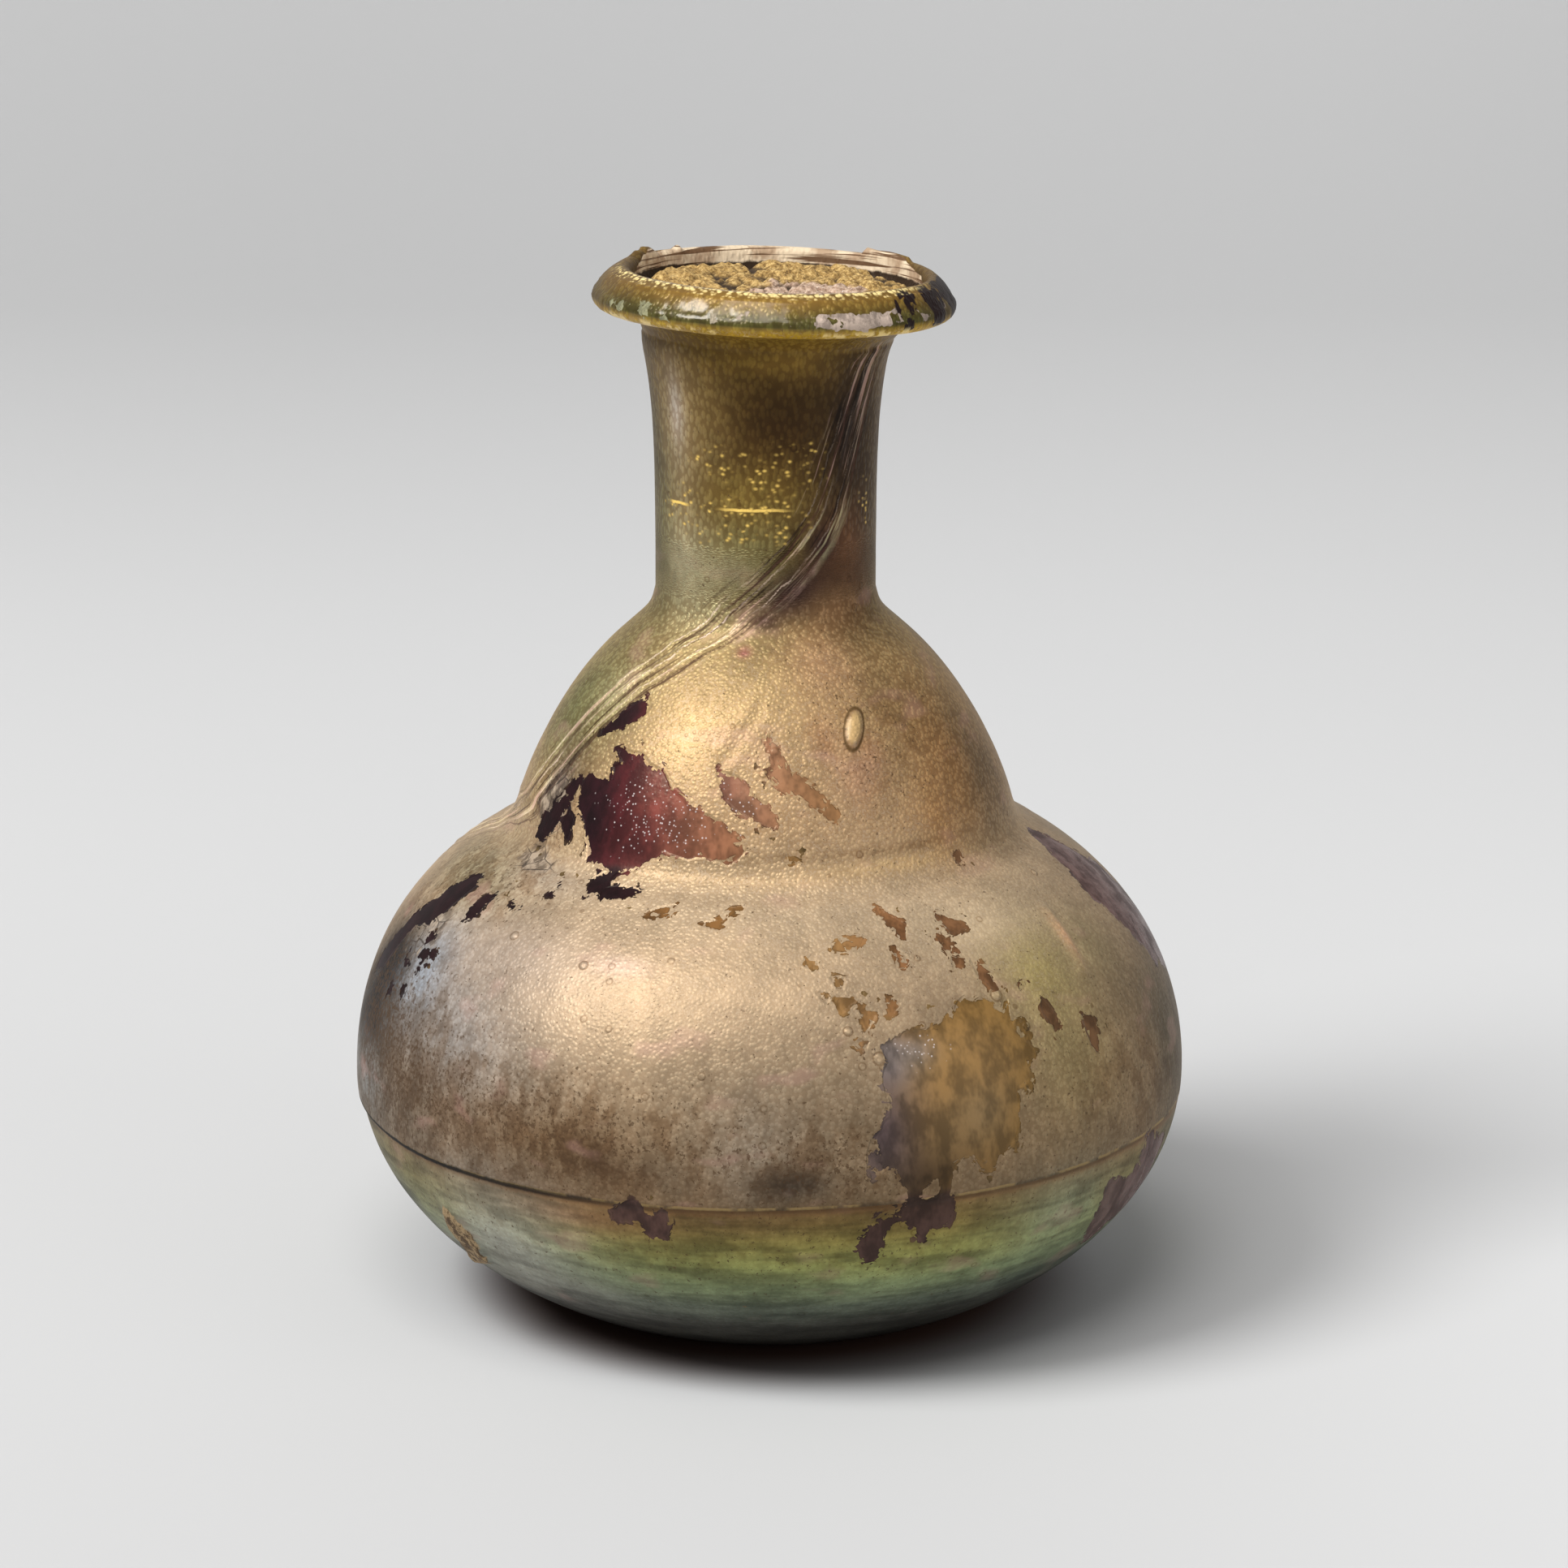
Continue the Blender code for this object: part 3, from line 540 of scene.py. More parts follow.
def gridMesh(name, points, firstPole, lastPole):
    # a closed skin from rings of points, with one point at each end where the rings close
    rings, columns = points.shape[:2]
    verts = np.concatenate([points.reshape(-1, 3), [firstPole, lastPole]])
    i, j = np.meshgrid(np.arange(rings - 1), np.arange(columns), indexing="ij")
    k = (j + 1) % columns
    quads = np.stack([i * columns + j, i * columns + k, (i + 1) * columns + k, (i + 1) * columns + j], -1)
    j = np.arange(columns)
    k = (j + 1) % columns
    first = np.stack([np.full(columns, len(verts) - 2), k, j], -1)
    lastRing = (rings - 1) * columns
    last = np.stack([np.full(columns, len(verts) - 1), lastRing + j, lastRing + k], -1)
    mesh = bpy.data.meshes.new(name)
    mesh.from_pydata(verts.tolist(), [], quads.reshape(-1, 4).tolist() + first.tolist() + last.tolist())
    mesh.shade_smooth()
    piece = bpy.data.objects.new(name, mesh)
    scene.collection.objects.link(piece)
    return piece


def tell(piece, told):
    # stores each named grid of values or tints on the points, with the poles taking their ring's mean
    for name, values in told.items():
        tinted = np.ndim(values) == 3
        wide = values.reshape(-1, 3) if tinted else values.ravel()
        wide = np.concatenate([wide, [values[0].mean(0), values[-1].mean(0)]])
        layer = piece.data.attributes.new(name, "FLOAT_COLOR" if tinted else "FLOAT", "POINT")
        if tinted:
            wide = np.c_[wide, np.ones(len(wide))]
        layer.data.foreach_set("color" if tinted else "value", wide.astype(np.float32).ravel())


glass = gridMesh("weathered_flask", points, (0, 0, f.kick), (0, 0, f.floor))
topOnly, bodyOnly = isZone["rim"] | isZone["mouth"], isZone["bowl"] | isZone["body"]
tell(glass, dict(film=film, under=under))
tell(glass, {name: values + 0 * gridR for name, values in dict(
    bare=bare * 1000, thread=np.clip(thread * 1000, -40, 40), rimAt=rimAt * onRim * topOnly,
    scab=np.maximum(scab * 1000, -5), dirt=dirt, crust=crust, pimples=pimples,
    gold=gold * isZone["neck"] + rimGlints, rimPale=rimPale, rimDark=rimDark, toLap=np.clip(toLap, -9, 9),
    lapDark=1.35 * lapDark * bodyOnly, lipDown=np.clip(lipDown, -9, 9), backLip=backLip * topOnly).items()})
print("flask: mesh of", len(glass.data.polygons), "faces")

# Soil in the mouth

soilForm = dict(bottom=70.0 * mm, belowLip=1.0 * mm, gap=0.35 * mm, rings=84, columns=230)


def soilMesh():
    # a disc of rings whose height is broken by lumps of several sizes, on a side that follows the bore
    s = soilForm
    turn = np.linspace(-np.pi, np.pi, s["columns"], endpoint=False)[None, :]
    top = f.lipHeight - s["belowLip"]
    reach = boreRadius(np.array([top]), s["gap"])[0]
    r = np.linspace(0.02, 1, s["rings"])[:, None] * reach
    flat = np.stack([r * np.sin(turn), -r * np.cos(turn), top + 0 * r * turn], -1)
    lump = cloud(flat, 4.2 * mm, 2, 31)
    grain = cloud(flat, 0.5 * mm, 3, 41)
    draw = np.random.default_rng(5)
    crumb = np.full(flat.shape[:2], -0.4)
    for wide in draw.uniform(0.35, 1.0, 520) * mm:  # rounded crumbs of all sizes, the highest one wins
        away, about = reach * draw.uniform() ** 0.5, draw.uniform(0, 2 * np.pi)
        x, y = flat[..., 0] - away * np.cos(about), flat[..., 1] - away * np.sin(about)
        dome = np.sqrt(np.clip(1 - (x ** 2 + y ** 2) / wide ** 2, 0, 1))
        crumb = np.maximum(crumb, wide / mm * dome - 0.45 - 0.3 * draw.uniform())
    high = 0.6 * lump + 0.75 * crumb + 0.30 * grain
    edge = rise(r, 0.84 * reach, reach)
    flat[..., 2] += (high - 0.15) * mm * (1 - edge) - edge * (1.3 + 0.4 * lump) * mm
    # the hollow values: low between crumbs and lower towards the edge, for painted shade between the crumbs
    # and along the bore's wall
    high = high - 0.5 * edge
    sideZ = np.linspace(top - 1.9 * mm, s["bottom"], 14)[:, None]
    sideR = boreRadius(sideZ, s["gap"])
    side = np.stack([sideR * np.sin(turn), -sideR * np.cos(turn), sideZ + 0 * turn], -1)
    lowR = np.linspace(0.95, 0.05, 6)[:, None] * sideR[-1]
    low = np.stack([lowR * np.sin(turn), -lowR * np.cos(turn), s["bottom"] + 0 * lowR * turn], -1)
    low[..., 2] += 0.5 * mm * cloud(low, 3 * mm, 2, 43)
    flat[..., 2] = np.minimum(flat[..., 2], top + 0.55 * mm)
    rings = np.concatenate([flat, side, low])
    piece = gridMesh("mouth_soil", slump(rings), slump(flat[0].mean(0)), slump(low[-1].mean(0)))
    grey = bell(rings[..., 0] - 2.4 * mm, 5.2 * mm) * bell(rings[..., 1] + 5 * mm, 6 * mm)
    rest = np.full((len(side) + len(low), s["columns"]), -0.2)
    tell(piece, dict(sandy=grey, hollow=np.concatenate([high, rest])))
    return piece


soil = soilMesh()
print("soil: mesh of", len(soil.data.polygons), "faces")

# Materials

def placeOf(degrees, height):
    # the place on the outside at an angle and a height in millimetres
    z = height * mm
    turn, r = math.radians(degrees), float(glassRadius(np.float64(z)))
    return slump(np.array([r * math.sin(turn), -r * math.cos(turn), z]))


class Wire:
    # one socket's value; each sum, difference, product or power of wires is one Math node
    def __init__(self, paint, socket):
        self.paint, self.socket = paint, socket

    def calc(self, operation, *terms):
        return self.paint.add("ShaderNodeMath", dict(operation=operation), dict(enumerate(terms)))

    def __add__(self, other):
        return self.calc("ADD", self, other)

    def __sub__(self, other):
        return self.calc("SUBTRACT", self, other)

    def __rsub__(self, other):
        return self.calc("SUBTRACT", other, self)

    def __mul__(self, other):
        return self.calc("MULTIPLY", self, other)

    def __pow__(self, other):
        return self.calc("POWER", self, other)

    __radd__ = __add__
    __rmul__ = __mul__

    def other(self, output):
        # another output of the same node
        return Wire(self.paint, self.socket.node.outputs[output])

    def smaller(self, term):
        return self.calc("MINIMUM", self, term)

    def larger(self, term):
        return self.calc("MAXIMUM", self, term)

    def size(self):
        return self.calc("ABSOLUTE", self)


class Paint:
    # builds one material's nodes
    def __init__(self, name):
        self.material = bpy.data.materials.new(name)
        self.material.use_nodes = True
        self.tree = self.material.node_tree
        self.tree.nodes.clear()
        self.place = self.add("ShaderNodeTexCoord", {}, {}, "Object")

    def add(self, kind, settings, values, output=0):
        # any node: its settings first, then the values or wires of its sockets
        node = self.tree.nodes.new(kind)
        for key, value in settings.items():
            setattr(node, key, value)
        for key, value in values.items():
            socket = node.inputs[key]
            if isinstance(value, Wire):
                self.tree.links.new(value.socket, socket)
            else:
                isTint = isinstance(value, tuple) and socket.type == "RGBA"
                socket.default_value = (*value, 1.0) if isTint else value
        return Wire(self, None if output is None else node.outputs[output])

    def vector(self, operation, first, second, output=0):
        # one Vector Math node: the first wire by the second, or by a number where it scales
        other = "Scale" if operation == "SCALE" else 1
        values = {0: first, other: second}
        return self.add("ShaderNodeVectorMath", dict(operation=operation), values, output)

    def told(self, name, output="Fac"):
        # what the mesh stores under a name at each point
        return self.add("ShaderNodeAttribute", dict(attribute_name=name), {}, output)

    def noise(self, size, detail=3.0, roughness=0.55, place=None, output="Fac"):
        # size is the width of one blotch in metres
        return self.add("ShaderNodeTexNoise", {}, {"Vector": place or self.place, "Scale": 1 / size,
                                                   "Detail": detail, "Roughness": roughness}, output)

    def cells(self, size, feature="F1", distance="EUCLIDEAN", place=None):
        # distance from the cell's middle; its random colour is the node's other output
        values = {"Vector": place or self.place, "Scale": 1 / size}
        settings = dict(feature=feature, distance=distance)
        return self.add("ShaderNodeTexVoronoi", settings, values, "Distance")

    def step(self, value, low, high, start=0.0, end=1.0):
        # from start to end as value goes from low to high, with a smooth S
        return self.add("ShaderNodeMapRange", dict(interpolation_type="SMOOTHSTEP"),
                        {"Value": value, "From Min": low, "From Max": high, "To Min": start, "To Max": end})

    def line(self, value, outer, inner):
        # 1 where value is within inner of 0, falling to 0 at outer on both sides
        return self.step(value.size(), outer, inner)

    def mix(self, factor, first, second, blend="MIX"):
        # first + factor * (second - first), for tints
        return self.add("ShaderNodeMix", dict(data_type="RGBA", blend_type=blend, clamp_factor=True),
                        {0: factor, 6: first, 7: second}, 2)

    def times(self, tint, other):
        # the two tints multiplied
        return self.mix(1.0, tint, other, "MULTIPLY")

    def ramp(self, value, dark, middle, light):
        # three tints at fixed stops of a noise value
        node = self.add("ShaderNodeValToRGB", {}, {0: value}).socket.node
        node.color_ramp.elements.new(1.0)
        for element, at, tint in zip(node.color_ramp.elements, (0.34, 0.48, 0.64), (dark, middle, light)):
            element.position, element.color = at, (*tint, 1.0)
        return Wire(self, node.outputs[0])

    def around(self, degrees, height, wide, tall, lean=0.0):
        # distance from a place as a share of an oval's half width and height: the length of the offset's
        # parts along its axes, each over its half size; the oval's top leans to the right
        centre = placeOf(degrees, height)
        up = placeOf(degrees, height + 0.5) - placeOf(degrees, height - 0.5)
        side = np.array([math.cos(math.radians(degrees)), math.sin(math.radians(degrees)), 0.0])
        up /= np.linalg.norm(up)
        lean = math.radians(lean)
        side, up = (side * math.cos(lean) - up * math.sin(lean), up * math.cos(lean) + side * math.sin(lean))
        offset = self.vector("SUBTRACT", self.place, tuple(centre))
        ways = (side / wide, up / tall, np.cross(side, up) / (6 * mm))
        parts = [self.vector("DOT_PRODUCT", offset, tuple(way), "Value") for way in ways]
        offset = self.add("ShaderNodeCombineXYZ", {}, dict(enumerate(parts)))
        return self.vector("LENGTH", offset, (0, 0, 0), "Value")

    def nearTo(self, degrees, height, wide):
        # distance from a place on the outside as a share of a round spot's radius in millimetres
        centre = tuple(placeOf(degrees, height))
        return self.vector("DISTANCE", self.place, centre, "Value") * (1 / (wide * mm))

    def shade(self, tint, amount):
        # the tint made darker or lighter by an amount
        return self.vector("SCALE", tint, amount)

    def vary(self, factor, tint, dark, light):
        # the tint times dark where factor is 0, times light where it is 1
        return self.mix(factor, self.shade(tint, dark), self.shade(tint, light))

    def stretch(self, place, scale):
        # the place times a scale for each axis; below 1 draws a pattern out along it
        return self.vector("MULTIPLY", place, scale)

    def channel(self, tint, which=0):
        # one channel of a tint, red first
        return self.add("ShaderNodeSeparateColor", {}, {0: tint}, which)

    def pick(self, cells, which):
        # one channel of a cell's random colour
        return self.channel(cells.other("Color"), which)

    def shift(self, place, offset, amount):
        # moves the pattern's place by a noise colour, so that its edges wander
        centred = self.vector("SUBTRACT", offset, (0.5, 0.5, 0.5))
        return self.vector("ADD", place, self.shade(centred, amount))

    def bump(self, height):
        # the normal tipped by the slope of a height in metres
        return self.add("ShaderNodeBump", {}, {"Height": height, "Distance": 1.0})

    def finish(self, shader):
        # the shader becomes the material's surface
        self.add("ShaderNodeOutputMaterial", {}, {"Surface": shader}, None)
        return self.material


def glassMaterial():
    # the film's tint, changed layer by layer, mixed with the bare glass where the film has come off
    p = Paint("weathered_glass")
    film, under = p.told("film", "Color"), p.told("under", "Color")
    bareAt, threadAt, rimAt, scabAt, dirtAt, toLap = map(p.told, "bare thread rimAt scab dirt toLap".split())
    lapDark, crustAt, lipDown, backLip = map(p.told, "lapDark crust lipDown backLip".split())
    glintAt, pimplesAt = map(p.told, "gold pimples".split())
    height = p.add("ShaderNodeSeparateXYZ", {}, {0: p.place}, 2)
    onNeck = p.step(height, 64 * mm, 70 * mm)
    onBowl = p.step(toLap, 0.25, -0.25)
    onRim = p.step(rimAt, 0.0, 0.10)
    offRim = 1.0 - onRim

    # beads of the film: little domes, drawn out upwards on the neck, and a bubble here and there
    wandering = p.shift(p.place, p.noise(1.2 * mm, 2, output="Color"), 0.22 * mm)
    drawn = p.stretch(wandering, (1.0, 1.0, 0.52))
    beadPlace = p.add("ShaderNodeMix", dict(data_type="VECTOR"), {0: onNeck, 4: wandering, 5: drawn}, 1)
    bead = p.cells(0.40 * mm, place=beadPlace)
    bubble = p.cells(2.6 * mm)
    fine = p.noise(0.16 * mm, 2, 0.6)
    broad = p.noise(6.0 * mm, 3, 0.6)
    mottle = p.noise(1.0 * mm, 3, 0.62, place=p.stretch(p.place, (1.0, 1.0, 0.6)))
    drift, grit = mottle - 0.5, fine - 0.5

    # blisters with a rim: the long one on the shoulder, and small round ones
    blister = p.around(26, 55.1, 0.88 * mm, 2.0 * mm, 22)
    small = p.nearTo(*glassBubbles[0])
    for bubblePlace in glassBubbles[1:]:
        small = small.smaller(p.nearTo(*bubblePlace))

    # flakes: cells with their own random lift make the broken, angular edges of the film
    chip = p.pick(p.cells(1.25 * mm, "F1", "CHEBYCHEV", place=wandering), 0)
    chipFine = p.cells(0.48 * mm, "F1", "MANHATTAN")
    glitter = p.pick(chipFine, 2)
    chipFine = p.pick(chipFine, 1)
    stray = p.step(chipFine, 0.988, 0.992) * 1.2
    torn = p.noise(2.4 * mm, 3, 0.62, place=p.stretch(wandering, (1.0, 1.0, 0.7)))
    tearing = torn - 0.5
    lost = bareAt + (chip - 0.5) * 0.80 + (chipFine - 0.5) * 0.42 + grit * 0.14 + stray
    lost = lost + tearing * p.step(bareAt, -1.2, 0.3) * 1.6
    bare = p.step(lost, -0.015, 0.02)

    # rim: pinkish grey film in ragged scales on the slope, and dark purple patches at the right
    flaking = tearing * 1.8 + (chip - 0.5) * 0.6
    scales = p.step(p.told("rimPale") + flaking, 0.62, 0.68)
    blotch = p.step(p.told("rimDark") + flaking * 0.8, 0.55, 0.62)

    # tint of the film: soft clouds, painted shade in the creases between the beads, stains, dirt and pale
    # specks
    rough = 1.0 - onBowl * 0.45
    pallor = p.step(p.channel(film), 0.26, 0.48)  # the palest film is the smoothest
    tint = p.vary(p.step(broad, 0.30, 0.72), film, 0.84, 1.16)
    tint = p.vary(p.step(mottle, 0.34, 0.66) * (1.0 - pallor * 0.55), tint, 0.94, 1.12)
    # crease: painted shade between the beads
    crease = p.step(bead, 0.38, 0.62) * p.step(height, 38 * mm, 46 * mm, 0.32, 0.55)
    tint = p.mix(crease * rough * (1.0 - pallor * 0.3), tint, p.times(tint, (0.44, 0.33, 0.24)))
    solid = p.step(p.channel(film), 0.03, 0.14)
    dusty = p.step(mottle + grit * 0.6, 0.52, 0.68) * 0.09 * solid * rough
    dusty = dusty * (1.0 - onNeck * 0.7) * (1.0 - pallor * 0.5)
    tint = p.mix(dusty, tint, p.mix(0.16, p.shade(tint, 1.7), (0.62, 0.53, 0.41)))
    frosty = p.step(fine + (bead - 0.4) * 0.3, 0.56, 0.70) * pallor * 0.22
    tint = p.mix(frosty, tint, (0.66, 0.55, 0.42))
    streak = p.noise(1.7 * mm, 2, 0.65, place=p.stretch(p.place, (0.22, 0.22, 1.4)))
    tint = p.mix(onBowl, tint, p.vary(p.step(streak, 0.36, 0.62), tint, 0.70, 1.22))
    stain = p.step(torn + dirtAt * 0.10, 0.52, 0.64) * p.step(dirtAt, 0.05, 0.6)
    tint = p.mix(stain * 0.55, tint, p.times(tint, (0.46, 0.33, 0.22)))
    speck = p.step(p.noise(0.42 * mm, 3, 0.75) + dirtAt * 0.11, 0.64, 0.69)
    tint = p.mix(speck * 0.75, tint, (0.060, 0.032, 0.015))
    pink = p.step(p.noise(7 * mm, 2, 0.5, place=p.stretch(p.place, (1.0, 1.0, 2.0))), 0.60, 0.72)
    tint = p.mix(pink * (1.0 - onNeck) * solid * 0.16, tint, (0.62, 0.34, 0.30))
    crack = p.step(p.cells(1.9 * mm, "DISTANCE_TO_EDGE", place=wandering), 0.045, 0.012)
    crack = crack * p.step(crustAt, 0.25, 0.6)
    tint = p.mix(p.step(crustAt + tearing * 1.6, 0.45, 0.75) * 0.7, tint,
                 p.mix(p.step(mottle, 0.42, 0.6), (0.085, 0.066, 0.052), (0.40, 0.32, 0.24)))
    tint = p.mix(crack * 0.75, tint, (0.030, 0.020, 0.015))
    scab = p.step(scabAt + drift * 1.2, -0.15, 0.05)
    scabTint = p.mix(p.step(mottle + grit * 0.4, 0.42, 0.58), (0.085, 0.05, 0.025), (0.34, 0.24, 0.13))
    tint = p.mix(scab, tint, scabTint)
    scaleTint = p.vary(p.step(mottle + grit * 0.3, 0.38, 0.62), under, 0.62, 1.15)
    tint = p.mix(scales, tint, scaleTint)
    tint = p.mix(blotch, tint, (0.014, 0.006, 0.006))
    # the long blister: a dark ring round it and a painted highlight along its middle
    tint = p.mix(p.line(blister - 1.0, 0.17, 0.03) * 0.85, tint, (0.075, 0.038, 0.010))
    tint = p.mix(p.step(blister, 0.92, 0.55) * 0.7, tint, (0.60, 0.40, 0.17))
    # painted shade as a darker ring on each bubble, and a painted highlight lightening the small bubbles'
    # middles
    bubbleShade = p.line(bubble - 0.12, 0.04, 0.01) * p.step(p.pick(bubble, 0), 0.55, 0.6) * 0.8
    bubbleShade = p.line(small - 1.0, 0.26, 0.06).larger(bubbleShade) * offRim * 0.55
    tint = p.mix(bubbleShade, tint, p.times(tint, (0.36, 0.25, 0.15)))
    tint = p.mix(p.step(small, 0.7, 0.2) * 0.4, tint, p.shade(tint, 1.8))

    # fibrous ribbon along the spiral, with pale and dark threads and painted highlights along its raised
    # fibres, and painted golden glints on the neck and the rim
    fibre = p.add("ShaderNodeCombineXYZ", {}, {0: threadAt * mm, 1: height * 0.05})
    fibre = p.noise(0.75 * mm, 3, 0.6, place=fibre)
    shown = p.step(height, 27 * mm, 42 * mm) * offRim
    ribbon = p.line(threadAt + drift * 1.5, 3.0, 1.4) * shown
    tint = p.mix(p.step(fibre, 0.54, 0.62) * ribbon * 0.8, tint,
                 p.mix(p.step(broad, 0.42, 0.58), p.mix(0.5, p.shade(tint, 1.8), (0.72, 0.44, 0.38)),
                       p.mix(0.5, p.shade(tint, 2.0), (0.70, 0.66, 0.38))))
    tint = p.mix(p.step(fibre, 0.45, 0.39) * ribbon * 0.85, tint, p.times(tint, (0.20, 0.13, 0.12)))
    wave = drift * 0.25 + tearing * 1.0
    # shine: painted highlights along the raised fibres beside the thread
    shine = p.line(threadAt + 0.1 + wave, 0.13, 0.03).larger(p.line(threadAt + 1.3 + wave, 0.11, 0.03))
    shine = shine.larger(p.line(threadAt - 1.2 + wave, 0.10, 0.03)) * p.step(fine + bead * 0.3, 0.48, 0.66)
    shine = shine * p.step(broad, 0.36, 0.58) * (1.0 - onNeck * 0.72)
    tint = p.mix(shine * shown * 0.55, tint, (0.86, 0.66, 0.52))
    seam = p.line(threadAt + 0.65 + wave, 0.15, 0.05).larger(p.line(threadAt - 2.0 + wave, 0.13, 0.04))
    tint = p.mix(seam * shown * 0.55, tint, (0.07, 0.028, 0.020))
    # painted glints: soft golden dots on the neck, painted highlights along the neck's ridge at 73 mm and
    # along the lip, and painted glow in patches on the rim's underside
    glint = p.cells(0.60 * mm, place=p.stretch(wandering, (1.0, 1.0, 1.35)))
    lit = p.step(p.pick(glint, 1) + glintAt * 0.6, 0.72, 1.12)
    glint = p.step(glint, 0.62, 0.0) ** 2.0 * lit * offRim
    glintLine = p.line(height - 73.0 * mm + drift * (0.25 * mm), 0.19 * mm, 0.05 * mm)
    lipHighlight = p.line(rimAt - 0.875 + drift * 0.03, 0.040, 0.012) * p.step(bead, 0.70, 0.3)
    thinHighlight = p.line(rimAt - 0.825 + drift * 0.03, 0.016, 0.006) * p.step(bead, 0.5, 0.2)
    lipHighlight = lipHighlight.larger(thinHighlight * 0.7)
    underGlow = p.line(rimAt - 0.48, 0.075, 0.03) * p.step(torn + drift * 0.6, 0.50, 0.60) * 0.8
    glint = glint.larger(glintLine * onNeck * p.step(glintAt, 0.45, 0.85)).larger(lipHighlight).larger(underGlow)
    glint = glint * p.step(glintAt, 0.05, 0.35)
    tint = p.mix(glint * 0.9, tint, p.mix(onRim, (0.92, 0.62, 0.15), (1.0, 0.78, 0.34)))

    # the lap: painted shade with dirt as a dark line under the step on the left, rusty where it fades, and a
    # painted highlight as a golden edge above it
    rusty = p.step(toLap + drift * 0.5, -0.9, -0.2) * p.step(toLap, 0.05, -0.05)
    tint = p.mix(rusty * 0.45, tint, (0.22, 0.10, 0.035))
    lapHighlight = p.line(toLap - 0.14 + drift * 0.2, 0.20, 0.04) * p.step(torn, 0.40, 0.55)
    tint = p.mix(lapHighlight * 0.5, tint, (0.62, 0.42, 0.16))
    lapShadeLine = p.line(toLap + 0.05 + drift * 0.25, 0.42, 0.16) * lapDark
    tint = p.mix(lapShadeLine, tint, (0.010, 0.007, 0.005))

    # strata of the broken lip at the back, and painted shade in the gap between lip and soil
    layer = p.noise(0.34 * mm, 2, 0.6, place=p.stretch(p.place, (0.035, 0.035, 1.0)))
    layered = p.mix(p.step(torn, 0.4, 0.6), (0.42, 0.29, 0.185), (0.70, 0.56, 0.39))
    layered = p.mix(p.step(layer, 0.43, 0.50), (0.13, 0.070, 0.035), layered)
    tint = p.mix(p.step(backLip + tearing * 1.2, 0.35, 0.50), tint, layered)
    # painted shade down the inner wall, in the gap above the soil
    tint = p.mix(p.step(lipDown + drift * 0.6, 0.50, 0.75), tint, (0.030, 0.017, 0.009))

    # bare glass: cloudy depth of colour, painted shade on the glass along the film's torn edge, and small
    # pale dots as painted highlights on its pimples
    pimple = p.cells(0.36 * mm)
    pale = p.step(pimple, 0.30, 0.12) * p.step(p.pick(pimple, 0) * 0.6 + pimplesAt, 0.80, 0.95)
    cloudy = p.noise(1.9 * mm, 3, 0.66, place=p.stretch(wandering, (1.0, 1.0, 0.55)))
    glassTint = p.vary(p.step(cloudy, 0.36, 0.64), under, 0.60, 1.25)
    glassTint = p.mix(p.step(lost, 0.14, 0.02) * 0.6, glassTint, p.shade(glassTint, 0.30))
    glassTint = p.mix(pale * 0.55, glassTint, (0.80, 0.72, 0.70))
    colour = p.mix(bare, tint, glassTint)

    isBare = p.step(bareAt, -0.15, 0.15)
    domes = p.step(bead, 0.60, 0.05) * (0.046 * mm) + p.step(bubble, 0.16, 0.03) * (0.055 * mm)
    domes = domes + fine * (0.012 * mm)
    domes = domes * p.step(height, 38 * mm, 46 * mm, 0.5, 1.0)
    bumps = domes * rough * (1.0 - isBare * 0.88) - isBare * (0.06 * mm) + mottle * (0.022 * mm)
    bumps = bumps + p.step(blister, 1.05, 0.5) * (0.22 * mm) + p.step(small, 1.05, 0.4) * (0.08 * mm)
    dull = p.step(dirtAt + crustAt + (broad - 0.5) * 0.8, 0.1, 0.8)
    satin = 0.45 + drift * 0.08 + dull * 0.18 + scab * 0.3 - onNeck * 0.06 - onRim * 0.10
    metal = (1.0 - bare) * (1.0 - scab) * (1.0 - scales) * (1.0 - dull * 0.7)
    metal = metal * (0.22 + glitter * 0.06) * solid * (1.0 - onNeck * 0.6) * (1.0 - backLip)
    satin = p.add("ShaderNodeMix", {}, {0: bare, 2: satin, 3: 0.27})
    coat = p.step(rimAt, 0.50, 0.60) * glintAt * 0.5 * (1.0 - scales) + p.step(blister, 1.0, 0.7) * 0.8
    coat = coat * (1.0 - bare) * (1.0 - backLip)
    normal = p.bump(bumps)
    shader = p.add("ShaderNodeBsdfPrincipled", {}, {
        "Base Color": colour, "Roughness": satin, "Normal": normal, "IOR": 1.36, "Metallic": metal,
        "Specular Tint": (1.0, 0.82, 0.58), "Coat Weight": coat, "Coat Roughness": 0.16})
    matt = p.add("ShaderNodeBsdfPrincipled", {}, {
        "Base Color": colour, "Roughness": 0.6, "Normal": normal, "Specular IOR Level": 0.12})
    deep = p.step(p.channel(colour), 0.16, 0.02) * offRim * 0.85
    deep = deep.larger(onNeck * offRim * 0.35).larger(onRim * p.step(glintAt, 0.75, 0.25) * 0.75)
    return p.finish(p.add("ShaderNodeMixShader", {}, {0: deep, 1: shader, 2: matt}))


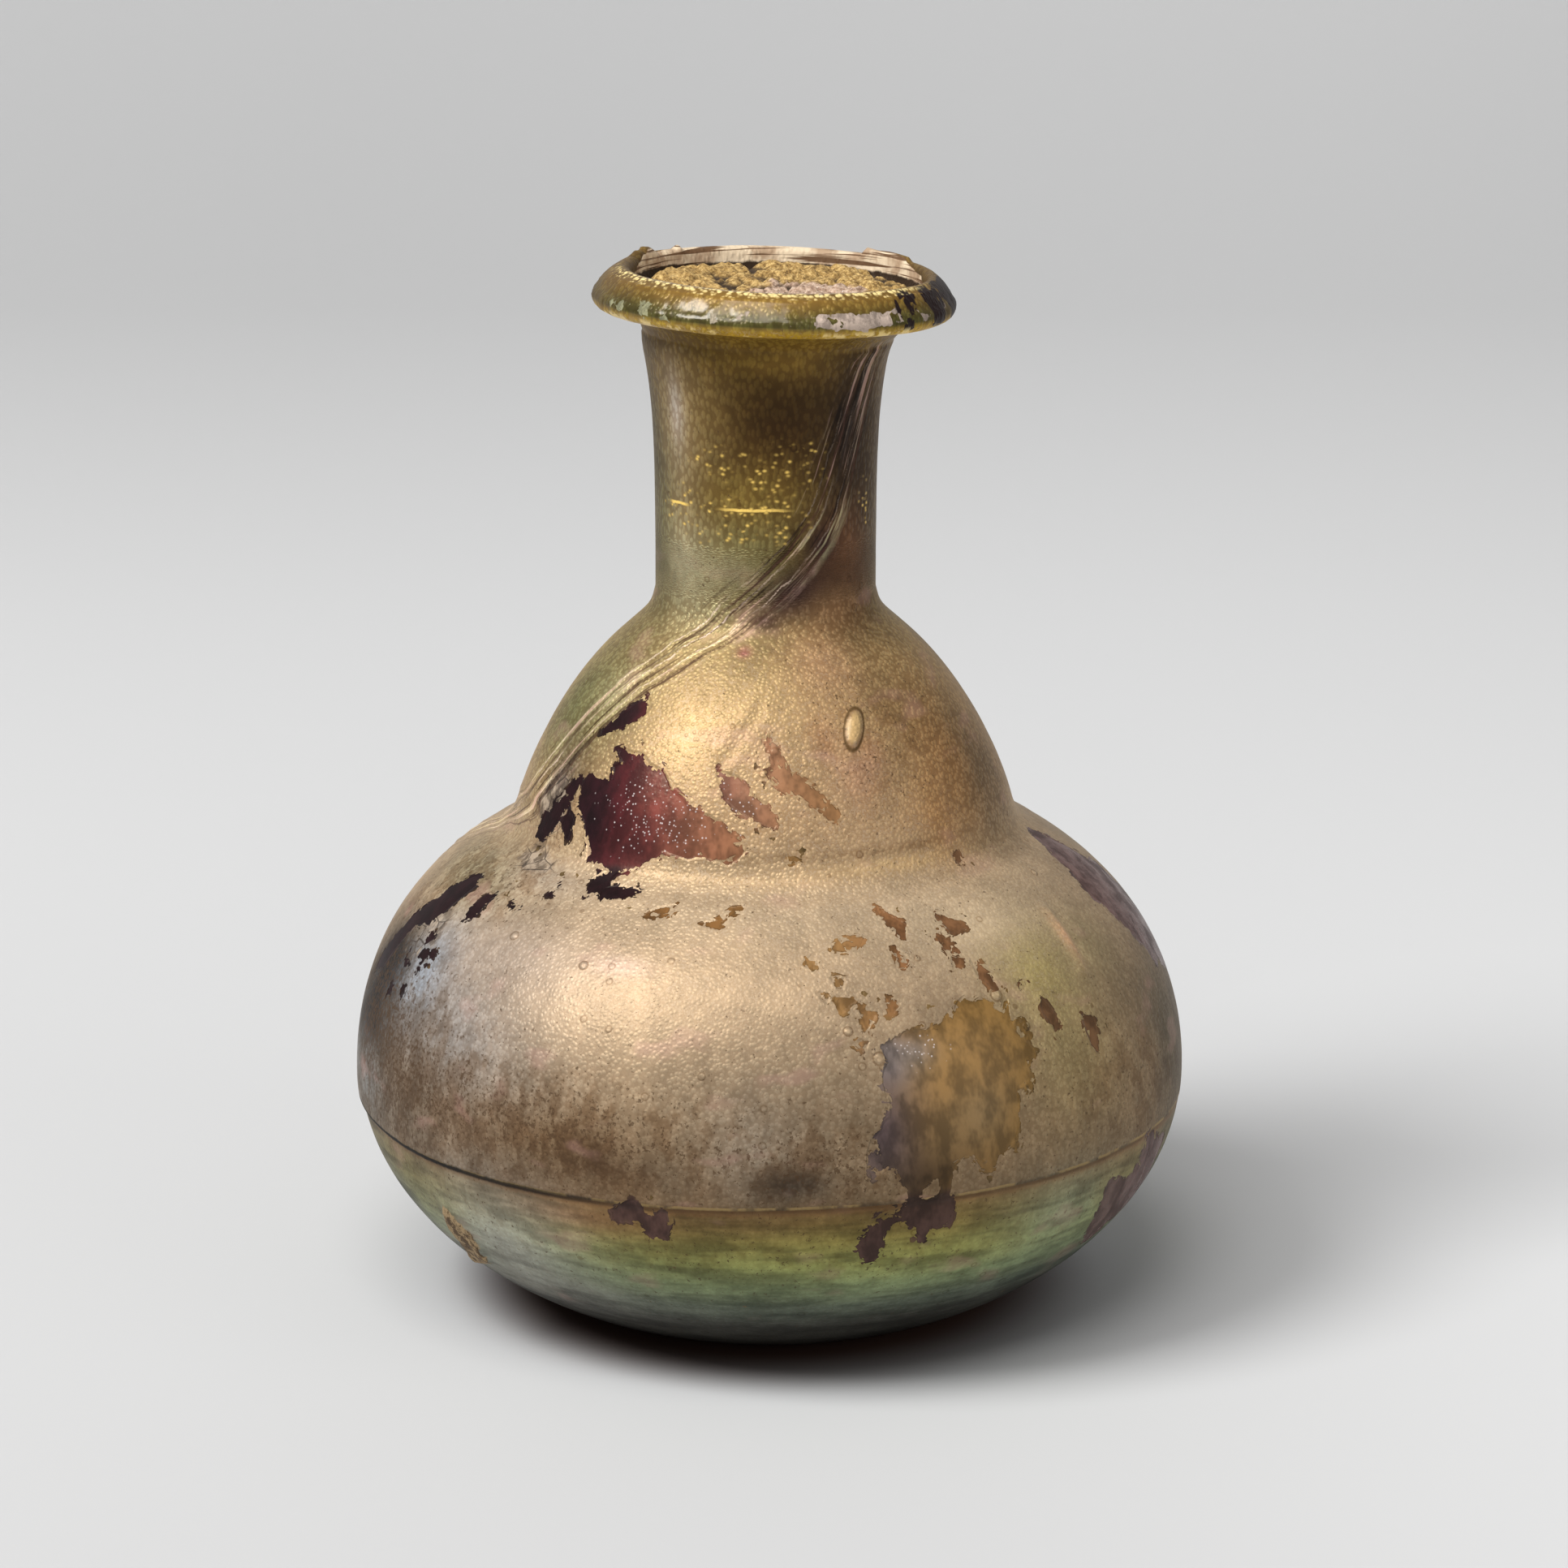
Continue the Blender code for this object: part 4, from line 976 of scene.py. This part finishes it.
def soilMaterial():
    # ochre and pinkish grey grains, mixed where the mesh says sandy, with painted shade where it says hollow
    p = Paint("dry_soil")
    sandy, hollow = p.told("sandy"), p.told("hollow")
    grain = p.noise(0.42 * mm, 5, 0.75)
    crumb = p.cells(0.62 * mm)
    sparkle = p.step(p.noise(0.22 * mm, 2, 0.5), 0.66, 0.72)
    ochre = p.ramp(grain, (0.10, 0.05, 0.012), (0.42, 0.25, 0.072), (0.86, 0.60, 0.24))
    grey = p.ramp(grain, (0.22, 0.125, 0.08), (0.50, 0.33, 0.225), (0.82, 0.63, 0.48))
    grey = p.mix(sparkle * 0.8, grey, (0.95, 0.88, 0.80))
    colour = p.mix(p.step(sandy + (p.noise(2 * mm) - 0.5) * 0.5, 0.35, 0.50), ochre, grey)
    colour = p.mix(p.step(hollow, -0.05, -0.45), colour, (0.05, 0.028, 0.012))
    shader = p.add("ShaderNodeBsdfPrincipled", {}, {
        "Base Color": colour, "Roughness": 0.9,
        "Normal": p.bump(grain * (0.30 * mm) + p.step(crumb, 0.6, 0.1) * (0.10 * mm))})
    return p.finish(shader)


glass.data.materials.append(glassMaterial())
soil.data.materials.append(soilMaterial())
for piece, node, slot in ((glass, "glass_bottle", "weathered_glass"), (soil, "soil_plug", "dry_soil")):
    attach(piece, "root")
    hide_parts(node)
print("materials made")

# Floor, light and camera

studio = dict(floorTint=(0.62, 0.62, 0.62), elevation=14.62, distance=446 * mm, lookHeight=46.2 * mm,
              lens=114.9, sideways=0.0085)


def sweepFloor():
    # a floor that curves up by a quarter circle into a wall behind, with painted light making it paler with
    # distance and to the right, and a painted contact shadow round the flask's foot
    line = [(-1.6, 0.0)] + [(0.55 + 0.6 * math.sin(a), 0.6 - 0.6 * math.cos(a))
                            for a in np.radians(np.linspace(0, 90, 24))] + [(1.15, 2.2)]
    verts = [(x, y, z) for y, z in line for x in (-2.5, 2.5)]
    faces = [(2 * i, 2 * i + 1, 2 * i + 3, 2 * i + 2) for i in range(len(line) - 1)]
    mesh = bpy.data.meshes.new("paper_floor")
    mesh.from_pydata(verts, [], faces)
    mesh.shade_smooth()
    floor = bpy.data.objects.new("paper_floor", mesh)
    scene.collection.objects.link(floor)
    p = Paint("pale_paper")
    x, y = [p.add("ShaderNodeSeparateXYZ", {}, {0: p.place}, i) for i in (0, 1)]
    near = p.step(y, -0.30, 0.30, 0.72, 1.02) + p.step(y, 0.6, 1.15) * 0.20 + p.step(x, -0.12, 0.14) * 0.09
    # painted light lifting the floor on the right, where the flask's shadow falls
    near = near + p.step(x, 0.0, 0.16) * p.step(y, 0.25, -0.10) * 0.17
    away = (x * x + y * y) ** 0.5
    # painted contact shadow: the floor turns dark brown within about 20 to 31 mm of the flask's axis
    tint = p.mix(p.step(away, 20 * mm, 31 * mm), (0.085, 0.047, 0.034), p.shade(studio["floorTint"], near))
    mesh.materials.append(p.finish(p.add("ShaderNodeBsdfPrincipled", {}, {
        "Base Color": tint, "Roughness": 0.9, "Specular IOR Level": 0.15})))


def areaLight(name, place, target, size, power):
    # a round lamp turned to its target: tipped by the arc cosine of the way's drop, turned by its bearing
    data = bpy.data.lights.new(name, "AREA")
    data.shape, data.size, data.energy = "DISK", size, power
    light = bpy.data.objects.new(name, data)
    light.location = place
    way = np.array(target) - np.array(place)
    tip, bearing = math.acos(-way[2] / np.linalg.norm(way)), math.atan2(way[1], way[0])
    light.rotation_euler = (tip, 0, bearing - math.pi / 2)
    scene.collection.objects.link(light)


sweepFloor()
areaLight("key", (-0.62, -0.39, 0.84), (0, 0, 0.04), 0.5, 11.5)
areaLight("overhead", (-0.15, -0.55, 1.05), (0, 0, 0.05), 0.7, 6.0)
areaLight("fill", (0.9, -0.6, 0.35), (0, 0, 0.04), 0.8, 1.8)

world = bpy.data.worlds.new("room")
world.use_nodes = True
world.node_tree.nodes["Background"].inputs["Color"].default_value = (1, 1, 1, 1)
world.node_tree.nodes["Background"].inputs["Strength"].default_value = 0.25
scene.world = world
scene.view_settings.view_transform = "Standard"

lensData = bpy.data.cameras.new("camera")
lensData.lens, lensData.sensor_width, lensData.shift_x = studio["lens"], 36, studio["sideways"]
lensData.clip_start = 0.01
camera = bpy.data.objects.new("camera", lensData)
tilt = math.radians(studio["elevation"])
back, up = studio["distance"] * math.cos(tilt), studio["distance"] * math.sin(tilt)
camera.location = (0, -back, studio["lookHeight"] + up)
camera.rotation_euler = (math.pi / 2 - tilt, 0, 0)
scene.collection.objects.link(camera)
scene.camera = camera
